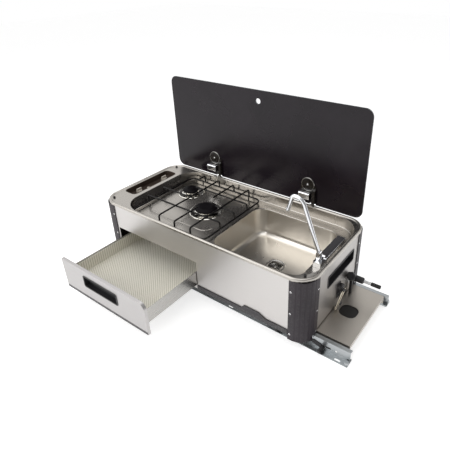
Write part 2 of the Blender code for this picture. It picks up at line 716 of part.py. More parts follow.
def build_lock_lever(name, pivot_x, black):
    """Lock lever: plate outside the front web, a grip that points forward and a nose behind the pivot."""
    face = -(SLIDE_SPREAD + CLEAR)
    outside = face - LEVER_PLATE
    pivot = (pivot_x, LEVER_PIVOT_HEIGHT)
    grip = (pivot_x + LEVER_ARM, LEVER_GRIP_HEIGHT)
    nose = (pivot_x - LEVER_NOSE, LEVER_PIVOT_HEIGHT)
    arm = prism(link_outline(pivot, LEVER_EYE_RADIUS, grip, LEVER_EYE_RADIUS), outside, face, "Y")
    made = piece(name, arm, black, (pivot_x, face, LEVER_PIVOT_HEIGHT))
    back = prism(link_outline(nose, LEVER_NOSE_RADIUS, pivot, LEVER_NOSE_RADIUS), outside, face, "Y")
    handle = turned([(LEVER_GRIP_RADIUS - LEVER_PLATE, 0.0), (LEVER_GRIP_RADIUS, LEVER_PLATE),
                     (LEVER_GRIP_RADIUS, LEVER_GRIP_LENGTH - LEVER_PLATE),
                     (LEVER_GRIP_RADIUS - LEVER_PLATE, LEVER_GRIP_LENGTH)], sides=12)
    seat = (grip[0], outside + LEVER_PLATE / 2, grip[1])
    fuse(made, back, aimed(handle, (0, -1, 0), seat))


def build_tray(steel):
    """Folded tray on the inner slide members: hem, cut-out, four pads under the pod and the latch's catch."""
    half = SLIDE_SPREAD - SLIDE_DEPTH - SLIDE_HAT_REACH - CLEAR
    inner = half - TRAY_SHEET
    low = TRAY_FLANGE_BOTTOM
    under = TRAY_TOP - TRAY_SHEET
    section = [(-half, low), (-half, TRAY_TOP), (half, TRAY_TOP), (half, low), (inner, low), (inner, under),
               (-inner, under), (-inner, low)]
    made = piece("base_tray", prism(section, SLIDE_START, TRAY_END, "X"), steel)
    hem = box((TRAY_END - TRAY_SHEET, -half + TRAY_SHEET / 2, TRAY_TOP - TRAY_HEM_HEIGHT),
              (TRAY_END - CLEAR, half - TRAY_SHEET / 2, TRAY_TOP - TRAY_SHEET / 2))
    fuse(made, hem)
    edge = (TRAY_HOLE_START, -TRAY_HOLE_WIDTH / 2)
    far = (TRAY_HOLE_START + TRAY_HOLE_LENGTH, TRAY_HOLE_WIDTH / 2)
    cut(made, prism(rounded(edge, far, TRAY_HOLE_RADIUS), under - OVERRUN, TRAY_TOP + OVERRUN))
    pads = [turned([(PAD_RADIUS, TRAY_TOP - TRAY_SHEET / 2), (PAD_RADIUS, TRAY_TOP + PAD_HEIGHT)], (x, y), 14)
            for x in (-PAD_X, PAD_X) for y in (-PAD_Y, PAD_Y)]
    fuse(made, joined(*pads), catch_form())


# Box

FLOOR_UNDERSIDE = TRAY_TOP + PAD_HEIGHT + CLEAR
FLOOR_TOP = FLOOR_UNDERSIDE + SHEET
POST_CENTRE = (BOX_HALF_LENGTH + CLEAR + POST_WALL - POST_RADIUS, BOX_HALF_DEPTH + CLEAR + POST_WALL - POST_RADIUS)
RUNNER_BASE = FLOOR_TOP
RUNNER_PLACES = (DRAWER_LEFT + RUNNER_INSET, DRAWER_LEFT + DRAWER_WIDTH - RUNNER_INSET)
DRAWER_BOTTOM = RUNNER_BASE + RUNNER_DEPTH + RUNNER_HAT_REACH
DRAWER_HOLE_LEFT = DRAWER_LEFT - DRAWER_SIDE_CLEAR - OVERRUN
DRAWER_HOLE_RIGHT = DRAWER_LEFT + DRAWER_WIDTH + DRAWER_SIDE_CLEAR
DRAWER_HOLE_BOTTOM = DRAWER_BOTTOM - DRAWER_SIDE_CLEAR


def runner_notches(low_y, high_y, low_z):
    """Cutters that let the runners pass the sill of the drawer hole."""
    reach = RUNNER_HALF_WIDTH + RUNNER_NOTCH_CLEAR
    return [box((place - reach, low_y, low_z), (place + reach, high_y, DRAWER_HOLE_BOTTOM + OVERRUN))
            for place in RUNNER_PLACES]


def build_floor_panel(steel):
    """Floor pan of the box with an upturned edge, cut down where the runners pass."""
    half_length = BOX_HALF_LENGTH - SHEET - CLEAR
    half_depth = BOX_HALF_DEPTH - SHEET - CLEAR
    radius = half_depth - POST_CENTRE[1]
    low, high = (-half_length, -half_depth), (half_length, half_depth)
    outside = rounded(low, high, radius)
    inside = rounded(*grown(low, high, -SHEET), radius - SHEET)
    top = FLOOR_UNDERSIDE + FLOOR_EDGE_HEIGHT
    made = piece("floor_panel", loft([level(outside, FLOOR_UNDERSIDE), level(outside, top), level(inside, top),
                                      level(inside, FLOOR_TOP)]), steel)
    cut(made, *runner_notches(-half_depth - OVERRUN, -half_depth + SHEET + OVERRUN / 2, FLOOR_TOP + CLEAR))
    fuse(made, cabinet_members())


def build_long_panels(steel):
    """Front panel with the drawer hole, and plain back panel."""
    end = POST_CENTRE[0] - PANEL_POST_SETBACK
    face = -BOX_HALF_DEPTH
    front = piece("front_panel", box((-end, face, PANEL_BOTTOM), (end, face + SHEET, PANEL_TOP)), steel)
    low = (DRAWER_HOLE_LEFT, DRAWER_HOLE_BOTTOM)
    high = (DRAWER_HOLE_RIGHT, DRAWER_HOLE_TOP)
    hole = prism(rounded(low, high, SHEET, 2), face - OVERRUN, face + SHEET + OVERRUN, "Y")
    cut(front, hole)
    notch_bottom = RUNNER_BASE + nested(*RUNNER_SECTION, RUNNER_CLEAR)[0] - RUNNER_NOTCH_CLEAR
    cut(front, *runner_notches(face - OVERRUN, face + SHEET + OVERRUN, notch_bottom))
    piece("back_panel", box((-end, -face - SHEET, PANEL_BOTTOM), (end, -face, PANEL_TOP)), steel)


def pull_hole(low, high, start, end, axis):
    """Cutter for a flush pull, one clearance larger than its cup."""
    return prism(rounded(*grown(low, high, CLEAR), PULL_RADIUS), start, end, axis)


END_PULL_LOW = (END_PULL_START, END_PULL_BOTTOM)
END_PULL_HIGH = (END_PULL_START + END_PULL_WIDTH, END_PULL_BOTTOM + END_PULL_HEIGHT)


def build_end_panels(steel, black):
    """End panels, each with a flush pull let into it."""
    reach = POST_CENTRE[1] - PANEL_POST_SETBACK
    for word, side in (("left", -1), ("right", 1)):
        faces = sorted((side * BOX_HALF_LENGTH, side * (BOX_HALF_LENGTH - SHEET)))
        made = piece(word + "_end_panel", box((faces[0], -reach, FLOOR_UNDERSIDE), (faces[1], reach, PANEL_TOP)), steel)
        cut(made, pull_hole(END_PULL_LOW, END_PULL_HIGH, faces[0] - OVERRUN, faces[1] + OVERRUN, "X"))
        cup = pull_cup(END_PULL_LOW, END_PULL_HIGH, side * (BOX_HALF_LENGTH + CLEAR), -side, "X")
        piece("end_pull_" + word, cup, black)


def pull_cup(low, high, face, inward, axis):
    """Flush pull: a flange on a face and an open cup behind it."""
    def ring(reach, radius, depth):
        outline = rounded(*grown(low, high, reach), radius)
        place = face + inward * depth
        return [(place, across, up) if axis == "X" else (across, place, up) for across, up in outline]
    rim = -PULL_FLANGE_THICKNESS
    floor = PULL_DEPTH - PULL_WALL
    return loft([
        ring(-PULL_WALL, PULL_RADIUS - PULL_WALL, floor), ring(-PULL_WALL, PULL_RADIUS - PULL_WALL, rim),
        ring(PULL_FLANGE, PULL_RADIUS + PULL_FLANGE, rim), ring(PULL_FLANGE, PULL_RADIUS + PULL_FLANGE, 0.0),
        ring(0.0, PULL_RADIUS, 0.0), ring(0.0, PULL_RADIUS, PULL_DEPTH)])


def post_arc(radius, groove):
    """Quarter arc from straight forward to straight sideways, with shallow grooves when asked."""
    marks = [(0.0, 0.0)]
    for index in range(POST_GROOVES):
        start = (index + 0.5) / (POST_GROOVES + 0.5)
        width = 0.5 / (POST_GROOVES + 0.5)
        marks += [(start, 0.0), (start + width * 0.2, groove), (start + width * 0.8, groove), (start + width, 0.0)]
    marks.append((1.0, 0.0))
    angles = [(math.pi / 2 * (share - 1), radius - dip) for share, dip in marks]
    return [(reach * math.cos(angle), reach * math.sin(angle)) for angle, reach in angles]


def build_posts(black):
    """Four ribbed corner posts over the panel edges."""
    outer = post_arc(POST_RADIUS, POST_GROOVE_DEPTH)
    inner = post_arc(POST_RADIUS - POST_WALL, 0.0)[::-1]
    near = POST_RADIUS - POST_WALL
    outline = [(-POST_FLANGE, -POST_RADIUS)] + outer + [(POST_RADIUS, POST_FLANGE), (near, POST_FLANGE)]
    outline += inner + [(-POST_FLANGE, -near)]
    for name, side_x, side_y in (("front_left", -1, -1), ("front_right", 1, -1),
                                 ("back_left", -1, 1), ("back_right", 1, 1)):
        places = [(side_x * (POST_CENTRE[0] + x), side_y * (POST_CENTRE[1] - y)) for x, y in outline]
        made = piece("corner_post_" + name, prism(places, POST_BOTTOM, PANEL_TOP), black)
        reach = (side_x * (RIM_HALF_LENGTH + OVERRUN), side_y * POST_NOTCH_REACH)
        xs, ys = sorted((0.0, reach[0])), sorted((0.0, reach[1]))
        cut(made, box((xs[0], ys[0], POST_BOTTOM - OVERRUN), (xs[1], ys[1], POST_NOTCH_TOP)))


def build_trim(black):
    """Dark strip along the foot of the front panel, with its bare raised hump."""
    start = DRAWER_HOLE_RIGHT
    end = POST_CENTRE[0] - POST_FLANGE - CLEAR
    low, line = TRIM_BOTTOM, TRIM_BOTTOM + TRIM_HEIGHT
    marks = [start + share * (end - start) for share in TRIM_HUMP_SHARES]
    outline = [(start, low), (end, low), (end, line), (marks[3], line), (marks[2], line + TRIM_HUMP_RISE),
               (marks[1], line + TRIM_HUMP_RISE), (marks[0], line), (start, line)]
    back = -BOX_HALF_DEPTH - CLEAR
    piece("bottom_trim", prism(outline, back - TRIM_THICKNESS, back, "Y"), black)


# Drawer

DRAWER_PULL_LOW = (DRAWER_PULL_START, DRAWER_PULL_BOTTOM)
DRAWER_PULL_HIGH = (DRAWER_PULL_START + DRAWER_PULL_WIDTH, DRAWER_PULL_BOTTOM + DRAWER_PULL_HEIGHT)


def build_drawer_box(steel):
    """Low open-topped drawer on the inner runner members."""
    front = drawer_front_back_face() + CLEAR
    back = front + DRAWER_LENGTH
    low, high = (DRAWER_LEFT, front), (DRAWER_LEFT + DRAWER_WIDTH, back)
    top = DRAWER_BOTTOM + DRAWER_HEIGHT
    outside = rounded(low, high, DRAWER_CORNER, 3)
    inside = rounded(*grown(low, high, -SHEET), DRAWER_CORNER - SHEET, 3)
    drawer = piece("drawer_box", loft([level(outside, DRAWER_BOTTOM), level(outside, top), level(inside, top),
                                       level(inside, DRAWER_BOTTOM + SHEET)]), steel)
    fuse(drawer, drawer_members())
    cut(drawer, pull_hole(DRAWER_PULL_LOW, DRAWER_PULL_HIGH, front - OVERRUN, front + PULL_DEPTH, "Y"))
    return low, high


def drawer_front_back_face():
    """Back of the drawer front as it stands open."""
    return -BOX_HALF_DEPTH - DRAWER_FRONT_PROUD - DRAWER_OPEN


def build_drawer_front(steel, black):
    """Folded drawer front with one large round corner, a step above its dark foot and its flush pull."""
    back = drawer_front_back_face()
    face = back - DRAWER_FRONT_DEPTH
    left = DRAWER_LEFT - DRAWER_FRONT_OVERLAP
    outline = [(left, TRIM_BOTTOM), (DRAWER_FRONT_END, TRIM_BOTTOM)]
    centre = (DRAWER_FRONT_END - DRAWER_FRONT_RADIUS, DRAWER_FRONT_TOP - DRAWER_FRONT_RADIUS)
    outline += [(centre[0] + DRAWER_FRONT_RADIUS * math.cos(math.radians(turn)),
                 centre[1] + DRAWER_FRONT_RADIUS * math.sin(math.radians(turn))) for turn in range(0, 91, 15)]
    outline.append((left, DRAWER_FRONT_TOP))
    front = piece("drawer_front", prism(outline, face, back, "Y"), steel)
    seam = TRIM_BOTTOM + DRAWER_TRIM_HEIGHT
    cut(front, box((left - OVERRUN, face - OVERRUN, seam - CLEAR * 2),
                   (DRAWER_FRONT_END + OVERRUN, face + CLEAR * 2, seam)))
    cut(front, pull_hole(DRAWER_PULL_LOW, DRAWER_PULL_HIGH, face - OVERRUN, back + OVERRUN, "Y"))
    piece("drawer_pull", pull_cup(DRAWER_PULL_LOW, DRAWER_PULL_HIGH, face - CLEAR, 1, "Y"), black)
    return face


def build_mat(low, high, face, cream):
    """Ribbed liner: floor with ribs along the drawer, turned up at the sides and the back."""
    edge = SHEET + CLEAR
    left, right = low[0] + edge, high[0] - edge
    start = face + PULL_DEPTH + MAT_THICKNESS
    floor = DRAWER_BOTTOM + SHEET + CLEAR
    top = floor + MAT_THICKNESS
    wall_top = DRAWER_BOTTOM + DRAWER_HEIGHT - MAT_LIFT
    pitch = (right - left - 2 * MAT_THICKNESS) / MAT_RIBS
    outline = [(left, floor), (right, floor), (right, wall_top), (right - MAT_THICKNESS, wall_top)]
    for rib in range(MAT_RIBS, 0, -1):
        place = left + MAT_THICKNESS + rib * pitch
        outline += [(place, top), (place - pitch / 2, top - MAT_RIB)]
    outline += [(left + MAT_THICKNESS, top), (left + MAT_THICKNESS, wall_top), (left, wall_top)]
    back = high[1] - DRAWER_CORNER
    mat = piece("drawer_mat", prism(outline, start, back, "Y"), cream, smooth=False)
    inner = left + MAT_THICKNESS / 2, right - MAT_THICKNESS / 2
    fuse(mat, box((inner[0], back - MAT_THICKNESS, floor + MAT_RIB), (inner[1], back - CLEAR, wall_top - CLEAR)))


def runner_outline(section, place, offset=0.0):
    """Turn a section into (x, z) points for a runner that lies on its web."""
    return [(place + across, RUNNER_BASE + offset + depth) for depth, across in section]


def runner_start():
    """Front end of the cabinet members, just behind the front panel."""
    return -BOX_HALF_DEPTH + SHEET + RUNNER_FRONT_SETBACK


def cabinet_members():
    """Lipped channels that are welded on the floor pan; their webs run a little into it."""
    members = []
    start = runner_start()
    for place in RUNNER_PLACES:
        outline = runner_outline(channel_outline(*RUNNER_SECTION, RUNNER_LIP), place)
        low = RUNNER_BASE - SHEET / 2
        foot = [(x, low if z < RUNNER_BASE + CLEAR else z) for x, z in outline]
        members.append(prism(foot, start, start + RUNNER_LENGTH, "Y"))
    return joined(*members)


def drawer_members():
    """Hat sections that are welded under the drawer, out with it."""
    members = []
    start = runner_start() - DRAWER_OPEN
    hat = hat_outline(*RUNNER_SECTION, RUNNER_LIP, RUNNER_CLEAR, RUNNER_HAT_REACH)
    for place in RUNNER_PLACES:
        crown = RUNNER_BASE + RUNNER_DEPTH + RUNNER_HAT_REACH
        outline = [(x, z + SHEET / 2 if z > crown - CLEAR else z) for x, z in runner_outline(hat, place)]
        members.append(prism(outline, start, start + RUNNER_LENGTH, "Y"))
    return joined(*members)


def build_runner_middles(zinc):
    """Middle members, which lag behind the drawer by half."""
    offset, depth, half = nested(*RUNNER_SECTION, RUNNER_CLEAR)
    start = runner_start() - DRAWER_OPEN / 2
    for word, place in zip(("left", "right"), RUNNER_PLACES):
        channel = channel_outline(depth, half, RUNNER_WALL, RUNNER_LIP)
        outline = runner_outline(channel, place, offset)
        piece("runner_mid_" + word, prism(outline, start, start + RUNNER_LENGTH, "Y"), zinc)


# Worktop, sink and hob

DECK_RIGHT = RIM_HALF_LENGTH - RIM_WIDTH - DECK_MARGIN
DECK_HALF_DEPTH = RIM_HALF_DEPTH - RIM_WIDTH - DECK_MARGIN
SINK_LOW = (SINK_LEFT, SINK_FRONT)
SINK_HIGH = (SINK_LEFT + SINK_LENGTH, SINK_FRONT + SINK_WIDTH)
POCKET_LOW = (POCKET_X - POCKET_HALF_WIDTH, POCKET_FRONT)
POCKET_HIGH = (POCKET_X + POCKET_HALF_WIDTH, POCKET_BACK)
POCKET_FLOOR = LAND_HEIGHT - POCKET_DEPTH
TAP_CENTRE = (TAP_X, TAP_Y)

# Rolled rim from its underside to its inner foot: shares of its width inwards and of its height up
RIM_SHARES = ((0.0, 0.0), (0.0, 0.6), (0.25, 0.95), (0.6, 1.0), (1.0, 0.58))


def rim_loop(inset, height):
    """One loop of the rim at an inset from the worktop's outline."""
    low, high = (-RIM_HALF_LENGTH, -RIM_HALF_DEPTH), (RIM_HALF_LENGTH, RIM_HALF_DEPTH)
    return level(rounded(*grown(low, high, -inset), RIM_RADIUS - inset), height)


def recess_loop(left, right, half_depth, radii, height):
    """One loop of the sunk part of the worktop."""
    return level(rounded((left, -half_depth), (right, half_depth), radii), height)


def worktop_skin(shift):
    """Loops of the sunk part from its top edge to its floor, moved out by the sheet for the underside."""
    edge_x = RIM_HALF_LENGTH - RIM_WIDTH - RECESS_MARGIN + shift
    edge_y = RIM_HALF_DEPTH - RIM_WIDTH - RECESS_MARGIN + shift
    land = LAND_HEIGHT - shift
    wall = (DECK_LEFT - shift, DECK_RIGHT + shift, DECK_HALF_DEPTH + shift)
    floor = (DECK_LEFT + DECK_FILLET, DECK_RIGHT - DECK_FILLET, DECK_HALF_DEPTH - DECK_FILLET)
    outer_radii = (RECESS_LEFT_RADIUS + shift, RECESS_RIGHT_RADIUS + shift)
    radii = (DECK_LEFT_RADIUS, DECK_RIGHT_RADIUS)
    return [recess_loop(RECESS_LEFT - shift, edge_x, edge_y, outer_radii, land),
            recess_loop(*wall, radii, DECK_HEIGHT + DECK_FILLET - shift),
            recess_loop(*floor, (radii[0] - DECK_FILLET, radii[1] - DECK_FILLET), DECK_HEIGHT - shift)]


def build_worktop(steel):
    """One pressed sheet: rolled rim, raised land, sunk deck and its holes."""
    top = [rim_loop(share * RIM_WIDTH, RIM_UNDERSIDE + rise * (RIM_TOP - RIM_UNDERSIDE))
           for share, rise in RIM_SHARES]
    foot = RIM_WIDTH - THIN_SHEET
    under = [rim_loop(foot, RIM_UNDERSIDE), rim_loop(foot, LAND_HEIGHT - THIN_SHEET)]
    loops = worktop_skin(THIN_SHEET)[::-1] + under[::-1] + top + worktop_skin(0.0)
    worktop = piece("worktop", loft(loops), steel)
    low, high = DECK_HEIGHT - THIN_SHEET - OVERRUN, DECK_HEIGHT + OVERRUN
    holes = [prism(rounded(SINK_LOW, SINK_HIGH, SINK_RADIUS), low, high)]
    holes += [turned([(BURNER_NECK_RADIUS + CLEAR, low), (BURNER_NECK_RADIUS + CLEAR, high)], (x, y))
              for x, y, _ in BURNERS.values()]
    holes.append(turned([(TAP_STUD_RADIUS + CLEAR, low), (TAP_STUD_RADIUS + CLEAR, high)], TAP_CENTRE))
    pocket = rounded(*grown(POCKET_LOW, POCKET_HIGH, CLEAR), POCKET_RADIUS + CLEAR)
    holes.append(prism(pocket, LAND_HEIGHT - THIN_SHEET - OVERRUN, LAND_HEIGHT + OVERRUN))
    fuse(worktop, bumper_studs())
    cut(worktop, *holes)


def pan_loops(low, high, radius, top, flange, wall, inner):
    """Skin of a pan that hangs under a sheet; inner holds (inset, height) pairs from its mouth down."""
    def ring(reach, height):
        return level(rounded(*grown(low, high, reach), max(radius + reach, wall)), height)
    outer = [ring(wall - inset, height - wall) for inset, height in inner[::-1][:-1]]
    outer += [ring(wall, top - wall), ring(flange, top - wall), ring(flange, top)]
    return outer + [ring(-inset, height) for inset, height in inner]


def build_sink(steel, chrome, plastic):
    """Bowl welded under the deck, strainer in its drain and the outlet below it."""
    top = DECK_HEIGHT - THIN_SHEET - CLEAR
    inner = [(0.0, top)]
    for step in range(4):
        angle = math.pi / 2 * step / 3
        inner.append((SINK_TAPER + SINK_FILLET * (1 - math.cos(angle)),
                      SINK_FLOOR + SINK_FILLET * (1 - math.sin(angle))))
    bowl = piece("sink_bowl", loft(pan_loops(SINK_LOW, SINK_HIGH, SINK_RADIUS, top, SINK_FLANGE, SINK_SHEET,
                                             inner)), steel)
    drain = (DRAIN_X, DRAIN_Y)
    cut(bowl, turned([(DRAIN_HOLE, SINK_FLOOR - SINK_SHEET - OVERRUN), (DRAIN_HOLE, SINK_FLOOR + OVERRUN)], drain))
    build_strainer(drain, chrome)
    build_waste(drain, plastic)


def build_strainer(drain, chrome):
    """Flanged cup with a pierced floor."""
    seat = SINK_FLOOR + CLEAR
    cup = DRAIN_HOLE - CLEAR
    inner = cup - SINK_SHEET
    bottom = seat - DRAIN_CUP_DEPTH
    strainer = piece("sink_strainer", turned([
        (cup, bottom), (cup, seat), (DRAIN_FLANGE, seat), (DRAIN_FLANGE - SINK_SHEET, seat + SINK_SHEET),
        (inner, seat + SINK_SHEET), (inner, bottom + SINK_SHEET)], drain), chrome)
    hole = SINK_SHEET * 2
    holes = []
    for turn in range(0, 360, 60):
        place = (drain[0] + inner * 0.6 * math.cos(math.radians(turn)),
                 drain[1] + inner * 0.6 * math.sin(math.radians(turn)))
        holes.append(turned([(hole, bottom - OVERRUN), (hole, bottom + OVERRUN)], place, sides=6))
    cut(strainer, *holes)


def build_waste(drain, plastic):
    """Outlet body under the drain with a pipe stub towards the back."""
    top = SINK_FLOOR - SINK_SHEET - CLEAR
    bore = DRAIN_HOLE
    wall = SINK_SHEET * 2
    bottom = top - WASTE_BODY_DEPTH
    body = piece("sink_waste", turned([
        (WASTE_PIPE_RADIUS, bottom), (bore + wall, bottom + WASTE_BODY_DEPTH / 3), (bore + wall, top - wall),
        (DRAIN_FLANGE, top - wall), (DRAIN_FLANGE, top), (bore, top), (bore, bottom + WASTE_BODY_DEPTH / 2)],
        drain), plastic)
    start = (drain[0], drain[1], bottom + wall)
    bend = (drain[0], drain[1], bottom - WASTE_PIPE_RADIUS)
    end = (drain[0], drain[1] + WASTE_PIPE_LENGTH, bottom - WASTE_PIPE_RADIUS)
    fuse(body, tube(bent([start, bend, end], WASTE_PIPE_RADIUS), WASTE_PIPE_RADIUS - CLEAR, 10))


def build_pocket(steel, black):
    """Pan for the gas controls, the two knobs and the igniter button."""
    top = LAND_HEIGHT - THIN_SHEET - CLEAR
    inner = [(0.0, top), (0.0, POCKET_FLOOR + THIN_SHEET), (THIN_SHEET, POCKET_FLOOR)]
    pan = piece("control_pocket", loft(pan_loops(POCKET_LOW, POCKET_HIGH, POCKET_RADIUS, top,
                                                 POCKET_FLANGE, SINK_SHEET, inner)), steel)
    stem_hole = IGNITER_STEM_RADIUS + CLEAR
    cut(pan, turned([(stem_hole, POCKET_FLOOR - OVERRUN), (stem_hole, POCKET_FLOOR + OVERRUN)],
                    (POCKET_X, IGNITER_Y)))
    seat = POCKET_FLOOR + CLEAR
    for name, y in KNOB_Y.items():
        build_knob(name, (POCKET_X, y, seat), black)
    rest = seat + IGNITER_TRAVEL
    profile = [(IGNITER_STEM_RADIUS, POCKET_FLOOR - OVERRUN), (IGNITER_STEM_RADIUS, rest), (IGNITER_RADIUS, rest),
               (IGNITER_RADIUS, rest + IGNITER_HEIGHT * 0.7), (IGNITER_RADIUS * 0.75, rest + IGNITER_HEIGHT)]
    piece("igniter_button", turned(profile, (POCKET_X, IGNITER_Y)), black, (POCKET_X, IGNITER_Y, rest))


def build_knob(name, seat, black):
    """Control knob with a skirt and a raised grip across it."""
    x, y, low = seat
    body = low + KNOB_HEIGHT * 0.55
    profile = [(KNOB_SKIRT_RADIUS, low), (KNOB_SKIRT_RADIUS, low + KNOB_SKIRT_HEIGHT / 2),
               (KNOB_RADIUS, low + KNOB_SKIRT_HEIGHT), (KNOB_RADIUS, body), (KNOB_RADIUS * 0.9, body + CLEAR)]
    knob = piece(name, turned(profile, (x, y)), black, seat)
    wing = rounded((x - KNOB_WING / 2, y - KNOB_RADIUS), (x + KNOB_WING / 2, y + KNOB_RADIUS), KNOB_WING / 3, 2)
    fuse(knob, prism(wing, low + KNOB_SKIRT_HEIGHT, low + KNOB_HEIGHT))


def build_burners(chrome, black, brass):
    """Two burners: body through the deck, loose cap, and the gas pipes below."""
    seat = DECK_HEIGHT + CLEAR
    for word, (x, y, radius) in BURNERS.items():
        head = radius - BURNER_HEAD_INSET
        low = DECK_HEIGHT - BURNER_STEM_DEPTH
        flange = radius + BURNER_FLANGE_REACH
        top = seat + BURNER_HEAD_HEIGHT
        piece("burner_body_" + word, turned([
            (BURNER_STEM_RADIUS, low), (BURNER_STEM_RADIUS, low + BURNER_STEM_DEPTH / 2),
            (BURNER_NECK_RADIUS, seat - 2 * THIN_SHEET), (BURNER_NECK_RADIUS, seat), (flange, seat),
            (flange - THIN_SHEET, seat + THIN_SHEET), (head, seat + 2 * THIN_SHEET), (head, top)], (x, y)), chrome)
        low = top + CLEAR
        chamfer = THIN_SHEET * 2
        rise = BURNER_CAP_HEIGHT - CLEAR
        piece("burner_cap_" + word, turned([
            (radius - chamfer, low), (radius, low + chamfer), (radius, low + rise * 0.5),
            (radius - chamfer, low + rise * 0.75), (radius * 0.5, low + rise * 0.95), (radius * 0.2, low + rise)],
            (x, y), sides=24), black)
    build_gas(brass)


def build_gas(brass):
    """Valves under the knobs, the rail that feeds them and a pipe to each burner, as one brazed set."""
    top = POCKET_FLOOR - SINK_SHEET - CLEAR
    low = top - VALVE_HEIGHT
    rail = low + VALVE_HEIGHT / 3
    inside = BOX_HALF_LENGTH - SHEET - CLEAR
    supply = bent([(inside, VALVE_Y, VALVE_Z), (SUPPLY_X, VALVE_Y, VALVE_Z), (SUPPLY_X, SUPPLY_Y, GAS_PIPE_HEIGHT),
                   (POCKET_X, SUPPLY_Y, GAS_PIPE_HEIGHT), (POCKET_X, POCKET_BACK, rail),
                   (POCKET_X, KNOB_Y["knob_front"], rail)], VALVE_WIDTH / 2)
    gas = piece("gas_manifold", tube(supply, GAS_PIPE_RADIUS, 6), brass)
    for knob, burner in (("knob_front", "front"), ("knob_rear", "rear")):
        y = KNOB_Y[knob]
        x, along, _ = BURNERS[burner]
        valve = box((POCKET_X - VALVE_WIDTH / 2, y - VALVE_LENGTH / 2, low),
                    (POCKET_X + VALVE_WIDTH / 2, y + VALVE_LENGTH / 2, top))
        outlet = bent([(POCKET_X, y, low + CLEAR), (POCKET_X, y, GAS_PIPE_HEIGHT),
                       (POCKET_X + VALVE_LENGTH, along, GAS_PIPE_HEIGHT),
                       (x - BURNER_STEM_RADIUS - CLEAR, along, GAS_PIPE_HEIGHT)], VALVE_WIDTH / 4)
        fuse(gas, valve, tube(outlet, GAS_PIPE_RADIUS * 0.8, 6))


def build_grid(black):
    """Pan support: a base ring of wire and bent bars that stand on it, welded where they cross."""
    base = DECK_HEIGHT + CLEAR + GRID_RING_RADIUS
    upper = GRID_TOP - WIRE_RADIUS
    lower = upper - GRID_LAYER
    ring = rounded((GRID_LEFT, GRID_FRONT), (GRID_RIGHT, GRID_BACK), GRID_CORNER)
    centre = ((GRID_LEFT + GRID_RIGHT) / 2, (GRID_FRONT + GRID_BACK) / 2, base)
    grid = piece("pan_support", tube(level(ring, base), GRID_RING_RADIUS, closed=True), black, centre)
    rear, front = BURNERS["rear"], BURNERS["front"]
    gap = front[2] + WIRE_RADIUS
    first, second, third, fourth = GRID_BAR_PLACES
    paths = [[(first, GRID_BACK, base), (first, GRID_BACK, upper), (first, rear[1] + rear[2] + gap / 2, upper)],
             [(third, GRID_BACK, base), (third, GRID_BACK, upper), (third, front[1] + gap, upper)],
             [(third, GRID_FRONT, base), (third, GRID_FRONT, upper), (third, front[1] - gap, upper)]]
    paths += [[(x, GRID_FRONT, base), (x, GRID_FRONT, upper), (x, GRID_BACK, upper), (x, GRID_BACK, base)]
              for x in (second, fourth)]
    across = front[1] + WIRE_RADIUS
    near, far = front[0] - gap * 1.4, front[0] + gap
    row = rear[1] - WIRE_RADIUS
    paths += [[(GRID_LEFT, across, base), (GRID_LEFT, across, lower), (near, across, lower)],
              [(GRID_RIGHT, across, base), (GRID_RIGHT, across, lower), (far, across, lower)],
              [(GRID_LEFT, -row, base), (GRID_LEFT, -row, lower), (GRID_RIGHT, -row, lower),
               (GRID_RIGHT, -row, base)],
              [(GRID_RIGHT, row, base), (GRID_RIGHT, row, lower), (rear[0] + rear[2], row, lower)]]
    fuse(grid, *[tube(bent(path, GRID_BEND), WIRE_RADIUS, 8) for path in paths])


# Folding tap


def build_tap_base(chrome):
    """Square block on the deck with its stud, and a tongue with a pin for the lever."""
    half = TAP_BLOCK / 2
    low = DECK_HEIGHT + CLEAR
    block = rounded((TAP_X - half, TAP_Y - half), (TAP_X + half, TAP_Y + half), CLEAR * 5, 2)
    base = piece("tap_base", prism(block, low, low + TAP_BLOCK_HEIGHT), chrome)
    pivot_y = TAP_Y + half + LEVER_BAR_PIVOT_GAP
    tongue = link_outline((TAP_Y, LEVER_BAR_HEIGHT), LEVER_TONGUE_RADIUS, (pivot_y, LEVER_BAR_HEIGHT),
                          LEVER_TONGUE_RADIUS)
    fuse(base, rod(TAP_STUD_RADIUS, (TAP_X, TAP_Y, low - TAP_STUD_LENGTH), (TAP_X, TAP_Y, low + THIN_SHEET)),
         prism(tongue, TAP_X - LEVER_TONGUE_WIDTH / 2, TAP_X + LEVER_TONGUE_WIDTH / 2, "X"),
         rod(LEVER_PIN_RADIUS, (TAP_X - half + THIN_SHEET, pivot_y, LEVER_BAR_HEIGHT),
             (TAP_X + half - THIN_SHEET, pivot_y, LEVER_BAR_HEIGHT), 12))
    return low + TAP_BLOCK_HEIGHT, pivot_y


def build_tap_lever(pivot_y, chrome):
    """Flat lever behind the block, forked round the tongue."""
    half = TAP_BLOCK / 2
    thick = LEVER_BAR_THICKNESS / 2
    tip = thick / 2
    outline = link_outline((pivot_y, LEVER_BAR_HEIGHT), thick, (pivot_y + LEVER_BAR_LENGTH - tip,
                                                               LEVER_BAR_HEIGHT + thick - tip), tip)
    lever = piece("tap_lever", prism(outline, TAP_X - half, TAP_X + half, "X"), chrome,
                  (TAP_X, pivot_y, LEVER_BAR_HEIGHT))
    slot = LEVER_TONGUE_WIDTH / 2 + CLEAR
    cut(lever, box((TAP_X - slot, pivot_y - TAP_BLOCK, LEVER_BAR_HEIGHT - TAP_BLOCK),
                   (TAP_X + slot, pivot_y + LEVER_SLOT_LENGTH, LEVER_BAR_HEIGHT + TAP_BLOCK)))
    cut(lever, rod(LEVER_PIN_RADIUS + CLEAR, (TAP_X - TAP_BLOCK, pivot_y, LEVER_BAR_HEIGHT),
                   (TAP_X + TAP_BLOCK, pivot_y, LEVER_BAR_HEIGHT), 12))


